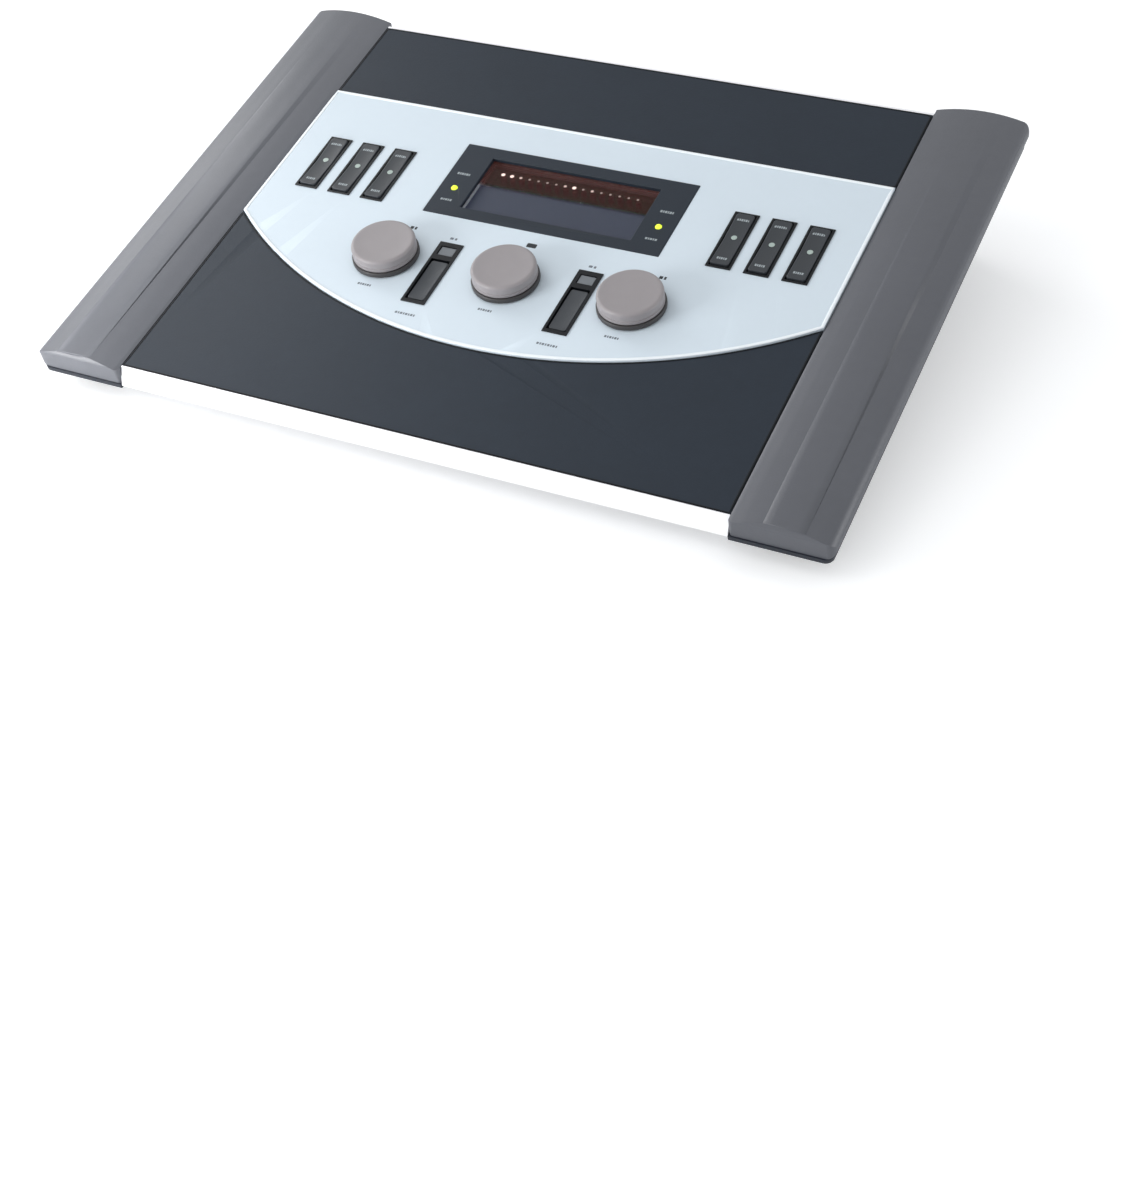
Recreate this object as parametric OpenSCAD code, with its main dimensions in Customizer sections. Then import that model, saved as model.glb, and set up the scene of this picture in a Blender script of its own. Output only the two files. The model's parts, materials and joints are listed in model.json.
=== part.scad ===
// Desk audiometer: a thin sloping slab with three knobs, two presentation bars, six rockers and a
// display, on a lower tray that holds the boards, the power supply and the rear sockets.
// Millimetres. +Z up, +X to the operator's right, +Y to the back. The origin lies on the table,
// under the middle of the whole outline. On the slab, u runs across, v runs up the slope from the
// front edge of the panels, and w stands square to the slab, with w = 0 at the dark panels' face.

/* [Case] */
// Width over both grey end caps
case_w = 365; // [352:1:400]
// Width of one end cap
cap_w = 43; // [38:1:48]
// Length of the bay that holds the top panels, along the slope
panel_d = 247.4; // [243:0.2:280]
// Slope of the top
tilt = 10; // [8.5:0.5:12]
// Height of the bay's front edge above the table
front_h = 18.5; // [18:0.5:26]
// Thickness of the slab, from the dark panels' face to its underside
slab_t = 9; // [8.6:0.1:10.6]
// Thickness of the moulded walls
wall = 2.2; // [1.6:0.1:2.8]
// Thickness of the tray's floor
floor_t = 2.5; // [2:0.1:3.5]
// How far the tray stands behind the slab's front edge
tray_setback = 20; // [15:1:30]
// How far the slab hangs over behind the tray
tray_overhang = 8; // [6:0.5:14]
// How far the tray reaches out under each end cap
tray_reach = 10.5; // [8:0.5:16]
// Depth of the slanted nose that carries on past the panels' front edge
nose_d = 3.9; // [2:0.1:6]
// Width of the white lip behind the back panel
back_lip = 2.8; // [2:0.1:5]
// Gap that shows between neighbouring pieces of the top
seam = 0.2; // [0.1:0.05:0.4]

/* [Feet] */
// Diameter of a rubber foot
foot_d = 16; // [10:0.5:22]
// Height of the tray's floor above the table
foot_h = 4; // [2.5:0.5:6]
// Depth of the pocket that a foot sits in
foot_pocket = 1; // [0.5:0.1:1.4]

/* [End caps] */
// Height of the crown above the dark panels' face
crown_h = 3.3; // [1.5:0.1:5]
// Radius of the long outer edge
edge_r = 4.2; // [3.4:0.1:5]
// Wall of the cap's shell
cap_wall = 2; // [1.4:0.1:2.6]
// Radius of the outer corners seen from above
cap_corner_r = 3.6; // [2.6:0.1:4.6]
// Radius that a cap's front rolls over into its crown with
cap_nose_r = 3; // [3:0.1:4]
// Radius of the inner front corner, where a cap stands out in front of the panels
cap_inner_r = 1.8; // [1:0.1:2]
// How far a cap reaches behind the panels' bay
cap_tail = 4.1; // [3.6:0.1:6]
// Thickness of the dark base under a cap
cap_base_t = 2; // [1.6:0.1:3]
// How far the base's edge stands inside the cap's edge
cap_base_inset = 1.4; // [0.8:0.1:2.5]
// How far the base's lip shows in front of the cap
cap_lip = 0.7; // [0.2:0.1:1.5]
// Distance between the ribs inside a cap
cap_rib_pitch = 30; // [22:1:34]

/* [Top panels] */
// Thickness of the dark panels
panel_t = 2; // [1.5:0.1:2.6]
// Thickness of the deck's plate under them
plate_t = 2.5; // [2:0.1:3]
// How far the pale fascia stands above the dark panels
fascia_rise = 0.8; // [0.3:0.1:1.5]
// Distance from the panels' middle line back to the fascia's straight back edge
fascia_back_off = 71.3; // [60:0.1:84]
// Distance from the panels' middle line forward to the lowest point of the fascia's curved edge
fascia_front_off = 71.2; // [66:0.1:80]
// Radius of the curved edge
fascia_r = 213; // [190:1:260]

/* [Knobs] */
// Distance between neighbouring knobs
knob_pitch = 58.8; // [55:0.2:66]
// How far the knobs stand in front of the panels' middle line
knob_off = 29.7; // [26:0.1:32]
// Diameter of a knob's upper rim
knob_d = 28.6; // [24:0.2:30]
// Diameter of a knob's foot
knob_foot_d = 30; // [25:0.2:32]
// Height of a knob's flat top above the dark panels
knob_top = 9.4; // [8:0.1:14]
// Gap between a knob and the fascia
knob_gap = 0.5; // [0.3:0.1:1]
// Diameter of an encoder's shaft
shaft_d = 6; // [4:0.5:6]
// Radial clearance of the shaft in its bushing
shaft_play = 0.05; // [0.02:0.01:0.1]
// Height of an encoder's housing
encoder_h = 6.5; // [5.5:0.1:8]
// Width of an encoder's housing
encoder_w = 12.5; // [11:0.5:16]

/* [Rockers] */
// Width of a rocker's frame
rocker_w = 11.4; // [10.6:0.1:14]
// Length of a rocker's frame
rocker_l = 35.9; // [32:0.1:42]
// Distance from the outermost rocker's middle to the side of the panels
rocker_side = 21; // [16:0.1:26]
// Distance between neighbouring rockers
rocker_pitch = 17.1; // [15.5:0.1:18]
// How far the rockers' middle stands behind the panels' middle line
rocker_off = 20.35; // [15:0.05:28]
// How far a rocker tips each way
rocker_tilt = 4; // [2:0.5:4.5]
// Diameter of the light pipe in a rocker's middle
pipe_d = 2.6; // [1.6:0.1:2.8]
// How far the light pipe stands behind the rocker's middle
pipe_off = 1.65; // [0.8:0.05:2.4]

/* [Slots] */
// Distance from the middle of the unit to a slot
slot_u = 33.6; // [30:0.1:36]
// Width of a slot's frame
slot_w = 11.5; // [10.6:0.1:14]
// How far a slot's front end stands in front of the panels' middle line
slot_off = 53.8; // [51:0.1:57]
// Length of a slot's frame
slot_l = 39.2; // [37:0.1:44]
// Length of the presentation bar
bar_l = 24.5; // [20:0.1:26]
// How far the bar tips when it is pressed
bar_tilt = 4; // [2:0.5:4.5]
// Length of the small key
key_l = 5; // [4:0.1:6]
// How far the small key goes down
key_travel = 1; // [0.5:0.1:1.3]

/* [Display] */
// Width of the display's bezel
bezel_w = 114.6; // [104:0.2:124]
// How far the bezel's front edge stands behind the panels' middle line
bezel_off = 2.3; // [-1:0.1:4.5]
// Depth of the bezel, front to back
bezel_d = 48.2; // [46:0.2:52]
// How far the bezel stands above the fascia
bezel_rise = 0.3; // [0.1:0.1:0.8]
// Width of the window that shows
window_w = 83; // [70:0.5:90]
// Depth of the window that shows
window_d = 34.8; // [30:0.2:37]
// Depth of the part of the window that the red filter covers
filter_d = 14.8; // [10:0.2:18]
// Distance from the middle to an indicator lamp
lamp_u = 50; // [48:0.5:51]
// How far the lamps stand behind the bezel's front edge
lamp_off = 17.8; // [12:0.2:24]
// Diameter of an indicator lamp
lamp_d = 3; // [2:0.1:4]
// Number of dots in the level row
level_count = 16; // [8:1:20]

/* [Boards] */
// Thickness of the printed boards
pcb_t = 1.6; // [1:0.1:2]
// Height of the posts that carry the boards in the tray
post_h = 5; // [4:0.5:7]
// Width of the power board
power_board_w = 80; // [76:1:88]
// Depth of the boards in the tray
tray_board_d = 92; // [86:1:100]
// Width of the transformer's core
core_w = 38; // [32:1:40]
// Depth of the transformer's core
core_d = 28; // [22:1:30]
// Height of the transformer
core_h = 18.5; // [14:0.5:19]
// Diameter of a large capacitor
can_d = 12; // [8:0.5:13]
// Height of a large capacitor
can_h = 13; // [8:0.5:14]
// Diameter of a small capacitor
small_can_d = 10; // [6:0.5:11]
// Height of a small capacitor
small_can_h = 16; // [8:0.5:17]
// Length of the heat sink
sink_l = 34; // [24:1:38]
// Width of the largest chip
chip_w = 24; // [14:1:26]
// Distance between neighbouring small chips
chip_pitch = 13; // [9:0.5:13.5]
// Height of a push switch's body
switch_h = 3.5; // [2.5:0.1:4]
// Height of a push switch's plunger
switch_pin_h = 1; // [0.6:0.1:1.4]

/* [Rear sockets] */
// Thickness of the rear panel
rear_t = 2; // [1.2:0.1:3]
// Number of jack sockets
jack_count = 6; // [2:1:6]
// Distance between neighbouring jack sockets
jack_pitch = 19; // [17.5:0.5:21]
// Diameter of a jack socket's bore
jack_bore = 6.5; // [6.4:0.05:6.8]
// Diameter of a jack socket's threaded neck
jack_neck = 9.4; // [9:0.1:10.4]
// How far a jack's neck stands behind the panel
jack_out = 4.5; // [3.5:0.1:6]
// Width of the mains inlet's flange
inlet_w = 31; // [30:0.5:34]
// Height of the mains inlet's flange
inlet_h = 24.6; // [24:0.2:27]
// Width of the power switch's flange
power_w = 15; // [14.4:0.2:18]
// Height of the power switch's flange
power_h = 21.4; // [20:0.2:25]
// Angle that the power rocker swings between off and on
power_swing = 16; // [10:1:18]

/* [Hidden] */
$fn = 72;
past = 1;    // how far a cutter runs past the face that it opens
rest = 0.3;  // gap that is left at the end of a moving part's travel
fit = 0.1;   // side gap of a piece that is set into a cut-out
root = 0.5;  // how far a post, rib or flange runs into the piece that carries it

// Slab
panel_half = (case_w - 2 * cap_w) / 2;
plate_top = -panel_t;
plate_low = -panel_t - plate_t;
fascia_top = fascia_rise;
panel_mid = panel_d / 2;
fascia_back = panel_mid + fascia_back_off;
fascia_low = panel_mid - fascia_front_off;
nose_slope = nose_d / 8;
function nose_v(w) = -0.6 + w * nose_slope;
deck_back = panel_d + back_lip;
flange_front = 2;
flange_back = deck_back - 4;

// End caps: the crown's arc runs through the cap's edges, and the outer edge is tangent to it
cap_in = panel_half + seam;
cap_out = case_w / 2;
cap_mid = (cap_in + cap_out) / 2;
crown_r = (pow(cap_w / 2, 2) + pow(crown_h, 2)) / (2 * crown_h);
crown_w = crown_h - crown_r;
edge_u = cap_out - edge_r;
edge_w = crown_w + sqrt(pow(crown_r - edge_r, 2) - pow(edge_u - cap_mid, 2));
edge_join = edge_u + (edge_u - cap_mid) * edge_r / (crown_r - edge_r);
cap_low = edge_w - edge_r;
cap_back = panel_d + cap_tail;
cap_front = nose_v(cap_low);
cap_roll_w = crown_h + 0.2 - cap_nose_r;
cap_base_low = cap_low - cap_base_t;
lip_v = cap_front - cap_lip;

// Slab to table: the caps' rolled fronts and the lower edge of their backs reach equally far
cap_roll_y = (cap_front + cap_nose_r) * cos(tilt) - cap_roll_w * sin(tilt) - cap_nose_r;
front_y = -(cap_roll_y + cap_back * cos(tilt) - cap_low * sin(tilt)) / 2;
function deck_y(v, w) = front_y + v * cos(tilt) - w * sin(tilt);
function deck_z(v, w) = front_h + v * sin(tilt) + w * cos(tilt);
function plane_z(w, y) = front_h + (y - front_y) * tan(tilt) + w / cos(tilt);

// Tray
tray_half = panel_half + tray_reach;
tray_front = front_y + tray_setback;
tray_back = deck_y(deck_back, 0) - tray_overhang;
bay_half = tray_half - wall;
bay_front = tray_front + wall;
floor_top = foot_h + floor_t;
rear_y = tray_back - 1.6;
rear_in = rear_y - rear_t;
rear_high = plane_z(-slab_t, rear_in);
rear_z = (floor_top + rear_high) / 2;
column_r = 5;
column_sink = 0.8;
guide_w = 2.5;
guide_t = 2;
column_x = bay_half - column_r + column_sink;
column_ys = [bay_front + column_r - column_sink, rear_in - 2.6 - column_r];
screw_hold = 7;

// Controls
board_top = plate_low - encoder_h - 0.4;
board_low = board_top - pcb_t;
switch_top = board_top + switch_h + switch_pin_h;
knob_us = [-knob_pitch, 0, knob_pitch];
knob_v = panel_mid - knob_off;
neck_r = shaft_d / 2 + 0.6;
neck_top = fascia_top + 3;
nut_t = 2;
knob_low = fascia_top + knob_gap;
knob_roof = knob_top - 2;
shaft_foot = board_top + 2;
shaft_top = knob_roof + 1;

rocker_outer_u = panel_half - rocker_side;
rocker_us = [for (side = [-1, 1]) for (i = [0:2])
    side * (rocker_outer_u - rocker_pitch * (side < 0 ? i : 2 - i))];
rocker_v = panel_mid + rocker_off;
rocker_rim = 0.3;
rocker_open_w = rocker_w - 2.2;
rocker_open_l = rocker_l - 1.9;
rocker_key_w = rocker_open_w - 0.6;
rocker_key_l = rocker_open_l - 1.3;
frame_top = fascia_top + 0.5;
frame_low = plate_low - 0.9;
pivot_w = -2.6;
pivot_r = 1;
pivot_play = 0.05;
hub_r = 2;
rocker_end_w = fascia_top + 1.3;
rocker_mid_w = fascia_top + 0.5;
plunger_r = 1.5;
plunger_arm = rocker_key_l / 2 - 3.4;

slot_front = panel_mid - slot_off;
slot_mid = slot_front + slot_l / 2;
slot_open_w = slot_w - 2.4;
bar_w = slot_open_w - 1;
bar_front = slot_front + 2.9;
bar_back = bar_front + bar_l;
bar_top = fascia_top - 0.1;
bar_pivot_v = bar_back - 2.4;
bar_arm = bar_l - 6;
key_w = slot_open_w - 2.2;
key_back = slot_front + slot_l - 2.9;
key_front = key_back - key_l;
key_mid = (key_front + key_back) / 2;
key_top = fascia_top + 0.1;

bezel_front = panel_mid + bezel_off;
lamp_v = bezel_front + lamp_off;
window_front = bezel_front + 6.5;
window_back = window_front + window_d;
filter_front = window_back - filter_d;
window_lap = 1.4;
window_t = 1.2;
window_top = plate_top + window_t;
bezel_top = fascia_top + bezel_rise;
display_top = plate_low - 1;
display_low = display_top - pcb_t;
display_half = bezel_w / 2 - 4;
display_front = bezel_front - 1;
display_back = bezel_front + bezel_d - 2;
glass_top = plate_top - 0.3;

control_half = rocker_outer_u + 8;
control_front = slot_front - 8;
control_back = max(rocker_v + rocker_l / 2, display_back) + 6;
control_posts = [
    [-control_half + 4, control_front + 4], [control_half - 4, control_front + 4],
    [0, control_front + 4], [-control_half + 4, control_back - 4],
    [control_half - 4, control_back - 4], [-bezel_w / 2 - 6, control_back - 4],
    [bezel_w / 2 + 6, control_back - 4]
];
display_posts = [for (u = [-1, 1]) for (v = [display_front + 2.5, display_back - 2.5])
    [u * (display_half - 2.5), v]];
post_r = 3;
pilot_r = 1.25;
shank_r = 1.2;
board_hole_r = 1.6;

// Boards in the tray
side_room = 6;
pcb_low = floor_top + post_h;
pcb_top = pcb_low + pcb_t;
power_x0 = -bay_half + side_room;
power_x1 = power_x0 + power_board_w;
main_x0 = power_x1 + 6;
main_x1 = bay_half - side_room;
power_y1 = rear_in - 15.5;
power_y0 = power_y1 - tray_board_d;
main_y1 = rear_in - 28;
main_y0 = main_y1 - tray_board_d;
post_in = 5;
power_posts = [for (x = [power_x0 + post_in, power_x1 - post_in])
    for (y = [power_y0 + post_in, power_y1 - post_in]) [x, y]];
main_posts = [for (x = [main_x0 + post_in, (main_x0 + main_x1) / 2, main_x1 - post_in])
    for (y = [main_y0 + post_in, main_y1 - post_in]) [x, y]];

// Rear sockets, from the operator's left
inlet_x = -bay_half + 30;
power_x = inlet_x + inlet_w / 2 + power_w / 2 + 8;
port_x = power_x + power_w / 2 + 30;
jack_x1 = bay_half - 22;
jack_xs = [for (i = [0:jack_count - 1]) jack_x1 - i * jack_pitch];
jack_body = [jack_pitch - 3, 24, 14];
inlet_cut = [inlet_w - 3.4, inlet_h - 4.4];
inlet_deep = 22;
recess = [inlet_w - 6.8, 15.4, inlet_h - 8.2];
power_cut = [power_w - 2, power_h - 1.4];
port_flange = [31, 12.6];
port_shell = [17, 8.4];
port_taper = 1.6;

inlet_pins = [[-7, -1], [0, 3], [7, -1]];
port_holes = concat([for (i = [-2:2]) [i * 2.7, 1.3]], [for (i = [-1.5:1.5]) [i * 2.7, -1.3]]);
port_out = 5.4;
power_open = [power_cut[0] - 2.4, power_cut[1] - 2.4];
power_pivot_y = rear_in - 2;
tongue_u = panel_half + 21;
cap_screws = [for (v = [26, panel_mid, panel_d - 26]) [tongue_u - 5, v]];
cap_ribs = [for (v = [cap_rib_pitch / 2:cap_rib_pitch:panel_d - cap_rib_pitch / 3])
    if (min([for (s = cap_screws) abs(v - s[1])]) > 5) v];
switch_places = concat(
    [for (u = rocker_us) for (s = [-1, 1]) [u, rocker_v + s * plunger_arm]],
    [for (u = [-slot_u, slot_u]) for (v = [bar_pivot_v - bar_arm, key_mid]) [u, v]]
);
main_mid = (main_x0 + main_x1) / 2;
main_mid_y = (main_y0 + main_y1) / 2;
core_x = power_x0 + 11 + core_w / 2;
core_y = power_y1 - 20 - core_d / 2;
core_sheet = 3;
core_leg = 5;
coil_out = 4;
chip_in = 11;
chip_t = 2;
can_in = 10;
can_gap = 5;
header_d = 6;
header_h = 7;
header_l = 18;
sink_in = 10;
sink_web = 2;
fin_t = 1.4;
fin_l = 8;
wire_r = 1.1;

// The ribbon's two sockets: one under the control board and one on the main board
ribbon_x = main_x0 + 0.35 * (main_x1 - main_x0);
ribbon_w = 30;
ribbon_t = 1;
socket_w = 1.27 * ribbon_w;
ribbon_v = control_back - 10;
socket_h = 5;
ribbon_up = [deck_y(ribbon_v, board_low - socket_h), deck_z(ribbon_v, board_low - socket_h) - 0.2];
ribbon_down = [ribbon_up[0], pcb_top + socket_h + 1];

// Stands its children on the slab
module deck() {
    translate([0, front_y, front_h]) rotate([tilt, 0, 0]) children();
}

// A plan drawn in u and v, raised from w0 to w1
module raise(w0, w1) {
    translate([0, 0, w0]) linear_extrude(w1 - w0) children();
}

// A section drawn in v and w, drawn out along u
module along_u(u0, u1) {
    translate([u0, 0, 0]) rotate([90, 0, 90]) linear_extrude(u1 - u0) children();
}

// A section drawn in u and w, drawn out along v
module along_v(v0, v1) {
    translate([0, v1, 0]) rotate([90, 0, 0]) linear_extrude(v1 - v0) children();
}

// A rod from one height to another
module rod(x, y, z0, z1, r) {
    translate([x, y, z0]) cylinder(h = z1 - z0, r = r);
}

// A box centred on x and y, from one height to another
module block(x, y, z0, z1, sx, sy) {
    translate([x - sx / 2, y - sy / 2, z0]) cube([sx, sy, z1 - z0]);
}

// A box centred on x and z, from one depth to another
module rear_block(x, z, y0, y1, sx, sz) {
    translate([x - sx / 2, y0, z - sz / 2]) cube([sx, y1 - y0, sz]);
}

// A rod that runs front to back
module rear_rod(x, z, y0, y1, r, sides = 72) {
    translate([x, y0, z]) rotate([-90, 0, 0]) cylinder(h = y1 - y0, r = r, $fn = sides);
}

// Everything above a plane that lies along the slab
module above(w) {
    deck() translate([-case_w, -case_w, w]) cube([2 * case_w, 3 * case_w, 200]);
}

// Everything below such a plane
module below(w) {
    deck() translate([-case_w, -case_w, w - 200]) cube([2 * case_w, 3 * case_w, 200]);
}

// The place of a frame that is set into the fascia
module frame_plan(u, v, sx, sy, grow = 0) {
    translate([u, v]) square([sx + 2 * grow, sy + 2 * grow], center = true);
}

// Plan of the fascia: a band whose front edge is an arc
module fascia_plan(grow = 0) {
    intersection() {
        translate([-panel_half, fascia_low - past])
            square([2 * panel_half, fascia_back - fascia_low + past + grow]);
        translate([0, fascia_low + fascia_r]) circle(r = fascia_r + grow, $fn = 360);
    }
}

// Cut-outs that the fascia and the deck's plate share
module control_holes(grow) {
    for (u = knob_us) translate([u, knob_v]) circle(r = neck_r + 0.2);
    for (u = rocker_us)
        frame_plan(u, rocker_v, rocker_w - 2 * rocker_rim, rocker_l - 2 * rocker_rim, grow);
    for (u = [-slot_u, slot_u])
        frame_plan(u, slot_mid, slot_w - 2 * rocker_rim, slot_l - 2 * rocker_rim, grow);
}

// Plan of the deck's side flanges, which run in under the end caps and stop short of both ends
module flange_plan(half, gap = 0) {
    translate([-half, flange_front - gap]) square([2 * half, flange_back - flange_front + 2 * gap]);
}

// Section of an end cap at the right-hand side, with t as the thickness taken off all round
module cap_section(t) {
    intersection() {
        union() {
            translate([cap_in + t, cap_low - past * sign(t)])
                square([edge_join - cap_in - t, crown_h * 2 - cap_low]);
            translate([edge_u, cap_low - past * sign(t)])
                square([edge_r - t, edge_w - cap_low + past * sign(t)]);
            translate([edge_u, edge_w]) circle(r = edge_r - t);
        }
        translate([cap_mid, crown_w]) circle(r = crown_r - t, $fn = 360);
        union() {
            translate([cap_in, edge_w]) square([cap_w, crown_h * 3]);
            translate([cap_in, cap_low - past * sign(t)])
                square([edge_u - cap_in, edge_w - cap_low + 2 * past]);
            translate([edge_u, edge_w]) circle(r = edge_r - t);
            if (t > 0) translate([cap_in, cap_low - past])
                square([cap_out - t - cap_in, edge_w - cap_low + past]);
        }
    }
}

// What a rounding takes off a square corner at u and v, with the body towards su and sv
module corner_cut(u, v, su, sv, r) {
    difference() {
        frame_plan(u + su * (r - past) / 2, v + sv * (r - past) / 2, r + past, r + past);
        translate([u + su * r, v + sv * r]) circle(r = r);
    }
}

// Outline of an end cap from above, drawn in by t
module cap_plan(t) {
    r = max(cap_corner_r - t, 0.5);
    front = cap_front + t;
    back = cap_back - t;
    out = cap_out - t;
    difference() {
        translate([cap_in + t, front]) square([out - cap_in - t, back - front]);
        corner_cut(out, front, -1, 1, r);
        corner_cut(out, back, -1, -1, r);
        if (t == 0) corner_cut(cap_in, front, 1, 1, cap_inner_r);
    }
}

// The same from the side: an upright front that rolls over into the crown, and an upright back
module cap_side(t) {
    front = cap_front + t;
    r = cap_nose_r - t;
    difference() {
        translate([front, cap_low - past]) square([cap_back - t - front, crown_h - cap_low + 2 * past]);
        difference() {
            translate([front - past, cap_roll_w]) square([r + past, crown_h - cap_roll_w + 2 * past]);
            translate([front + r, cap_roll_w]) circle(r = r);
        }
    }
}

module cap_form(t) {
    intersection() {
        along_v(-20, cap_back + 20) cap_section(t);
        along_u(cap_in - past, cap_out + past) cap_side(t);
        raise(cap_low - 2 * past, crown_h + past) cap_plan(t);
    }
}

// A crowned cover with ribs and screw posts under it
module end_cap() {
    difference() {
        cap_form(0);
        difference() {
            cap_form(cap_wall);
            for (v = cap_ribs)
                raise(plate_top, crown_h) translate([cap_in, v - 0.8]) square([cap_w, 1.6]);
            for (s = cap_screws) rod(s[0], s[1], plate_top, crown_h, post_r + 0.2);
        }
        // the deck's side flange runs in under the cap's inner edge
        raise(cap_low - past, plate_top) flange_plan(tongue_u + seam, seam);
        for (s = cap_screws) rod(s[0], s[1], plate_top - past, plate_top + 2.2, pilot_r);
    }
}

// The dark lower shell of an end cap, with a lip that shows under the cap's front
module cap_base() {
    base_out = cap_out - cap_base_inset;
    base_back = cap_back - cap_base_inset;
    difference() {
        union() {
            raise(cap_base_low, cap_low) difference() {
                translate([cap_in, lip_v]) square([base_out - cap_in, base_back - lip_v]);
                corner_cut(base_out, lip_v, -1, 1, cap_corner_r);
                corner_cut(base_out, base_back, -1, -1, cap_corner_r);
                flange_plan(tray_half + seam, seam);
            }
            for (s = cap_screws) rod(s[0], s[1], cap_base_low, plate_low, post_r + 0.2);
        }
        for (s = cap_screws) rod(s[0], s[1], cap_base_low - past, plate_low + past, 1.7);
        for (s = cap_screws) rod(s[0], s[1], cap_base_low - past, cap_base_low + 1, 2.9);
    }
}

module left_end_cap() { color("#878a91") deck() mirror([1, 0, 0]) end_cap(); }
module right_end_cap() { color("#68696d") deck() end_cap(); }
module left_cap_base() { color("#3b4353") deck() mirror([1, 0, 0]) cap_base(); }
module right_cap_base() { color("#23272e") deck() cap_base(); }

// White upper moulding: nose, back lip, plate under the panels and flanges into the caps
module deck_frame() {
    color("#f2f3f8") union() {
        difference() {
            deck() union() {
                along_u(-panel_half, panel_half) polygon([
                    [nose_v(0), 0], [nose_v(1 - slab_t), 1 - slab_t], [nose_v(1 - slab_t) + 1, -slab_t],
                    [deck_back, -slab_t], [deck_back, -2], [panel_d + back_lip / 2, 0]
                ]);
                raise(-slab_t, plate_top) flange_plan(tray_half);
                raise(plate_low, plate_top) flange_plan(tongue_u);
            }
            deck() raise(plate_top, past) translate([-panel_half - past, -seam])
                square([2 * panel_half + 2 * past, panel_d + 2 * seam]);
            intersection() {
                translate([-bay_half, bay_front, 0]) cube([2 * bay_half, rear_in - bay_front + 1.2, 200]);
                below(plate_low);
            }
            deck() raise(plate_low - past, past) {
                control_holes(fit);
                translate([-window_w / 2, window_front]) square([window_w, window_d]);
                for (u = [-lamp_u, lamp_u]) translate([u, lamp_v]) circle(r = lamp_d / 2 + 0.3);
            }
            deck() for (s = cap_screws) for (side = [-1, 1])
                rod(side * s[0], s[1], plate_low - past, past, 1.8);
            deck() nose_pockets();
        }
        difference() {
            intersection() {
                for (x = [-column_x, column_x]) for (y = column_ys) rod(x, y, 0, 100, column_r);
                difference() {
                    below(plate_low + root);
                    below(-slab_t);
                }
            }
            for (x = [-column_x, column_x]) for (y = column_ys)
                rod(x, y, plane_z(-slab_t, y) - 4, plane_z(plate_low, y) - 1, 1.6);
        }
        deck() {
            board_posts(control_posts, board_top);
            board_posts(display_posts, display_top);
        }
    }
}

// Pockets under the nose that keep its walls even, with ribs between them
module nose_pockets() {
    pitch = panel_half / 3;
    for (i = [-2.5:2.5])
        raise(-slab_t - past, plate_low)
            frame_plan(i * pitch, (tray_setback - 5) / 2 + 1.5, pitch - wall, tray_setback - 6);
}

// Hollow posts under the deck's plate
module board_posts(places, w) {
    for (p = places) difference() {
        rod(p[0], p[1], w, plate_low + root, post_r);
        rod(p[0], p[1], w - past, plate_low - 0.2, pilot_r);
    }
}

module front_panel() {
    color("#3a424a") deck() raise(plate_top, 0) difference() {
        translate([-panel_half + seam, 0]) square([2 * (panel_half - seam), panel_mid + rocker_off]);
        fascia_plan(2 * seam);
    }
}

module back_panel() {
    color("#39414a") deck() raise(plate_top, 0)
        translate([-panel_half + seam, fascia_back + 2 * seam])
            square([2 * (panel_half - seam), panel_d - fascia_back - 2 * seam]);
}

module control_fascia() {
    color("#d6e0e8") deck() raise(plate_top, fascia_top) difference() {
        intersection() {
            fascia_plan();
            translate([-panel_half + seam, 0]) square([2 * (panel_half - seam), panel_d]);
        }
        control_holes(fit);
        translate([-bezel_w / 2 - fit, bezel_front - fit]) square([bezel_w + 2 * fit, bezel_d + 2 * fit]);
    }
}

module display_bezel() {
    color("#353d46") deck() difference() {
        raise(plate_top, bezel_top) translate([-bezel_w / 2, bezel_front]) square([bezel_w, bezel_d]);
        raise(plate_top - past, bezel_top + past) {
            translate([-window_w / 2, window_front]) square([window_w, window_d]);
            for (u = [-lamp_u, lamp_u]) translate([u, lamp_v]) circle(r = lamp_d / 2 + 0.1);
        }
        raise(plate_top - past, window_top + 0.02)
            translate([-window_w / 2 - window_lap - fit, window_front - window_lap - fit])
                square([window_w + 2 * (window_lap + fit), window_d + 2 * (window_lap + fit)]);
    }
}

module window_pane(v0, v1) {
    deck() raise(plate_top, window_top)
        translate([-window_w / 2 - window_lap, v0]) square([window_w + 2 * window_lap, v1 - v0]);
}

module display_window() { color("#59606f", 0.5) window_pane(window_front - window_lap, filter_front); }
module level_filter() { color("#3a1712") window_pane(filter_front, window_back + window_lap); }

module lcd_glass() {
    color("#454a5c") deck() raise(display_top, glass_top)
        translate([-window_w / 2 + fit, window_front + fit])
            square([window_w - 2 * fit, window_d - filter_d - 2 * fit]);
}

module level_leds() {
    pitch = (window_w - 12) / level_count;
    row_v = filter_front + filter_d / 2;
    color("#e8ddd2") deck() for (i = [0:level_count - 1])
        block((i - (level_count - 1) / 2) * pitch, row_v, display_top, glass_top, 2, 2);
}

// A printed board under the deck, with a hole at each post
module deck_board(half, v0, v1, low, posts) {
    deck() raise(low, low + pcb_t) difference() {
        translate([-half, v0]) square([2 * half, v1 - v0]);
        for (p = posts) translate(p) circle(r = board_hole_r);
    }
}

module display_board() {
    color("#2e6b46")
        deck_board(display_half, display_front, display_back, display_low, display_posts);
}

module indicator_leds() {
    color("#dff04f") deck() for (u = [-lamp_u, lamp_u]) {
        rod(u, lamp_v, display_top, bezel_top, lamp_d / 2);
        translate([u, lamp_v, bezel_top]) intersection() {
            translate([0, 0, -0.4]) sphere(r = lamp_d / 2 - 0.1);
            rod(0, 0, -0.2, lamp_d, lamp_d / 2);
        }
    }
}

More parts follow.
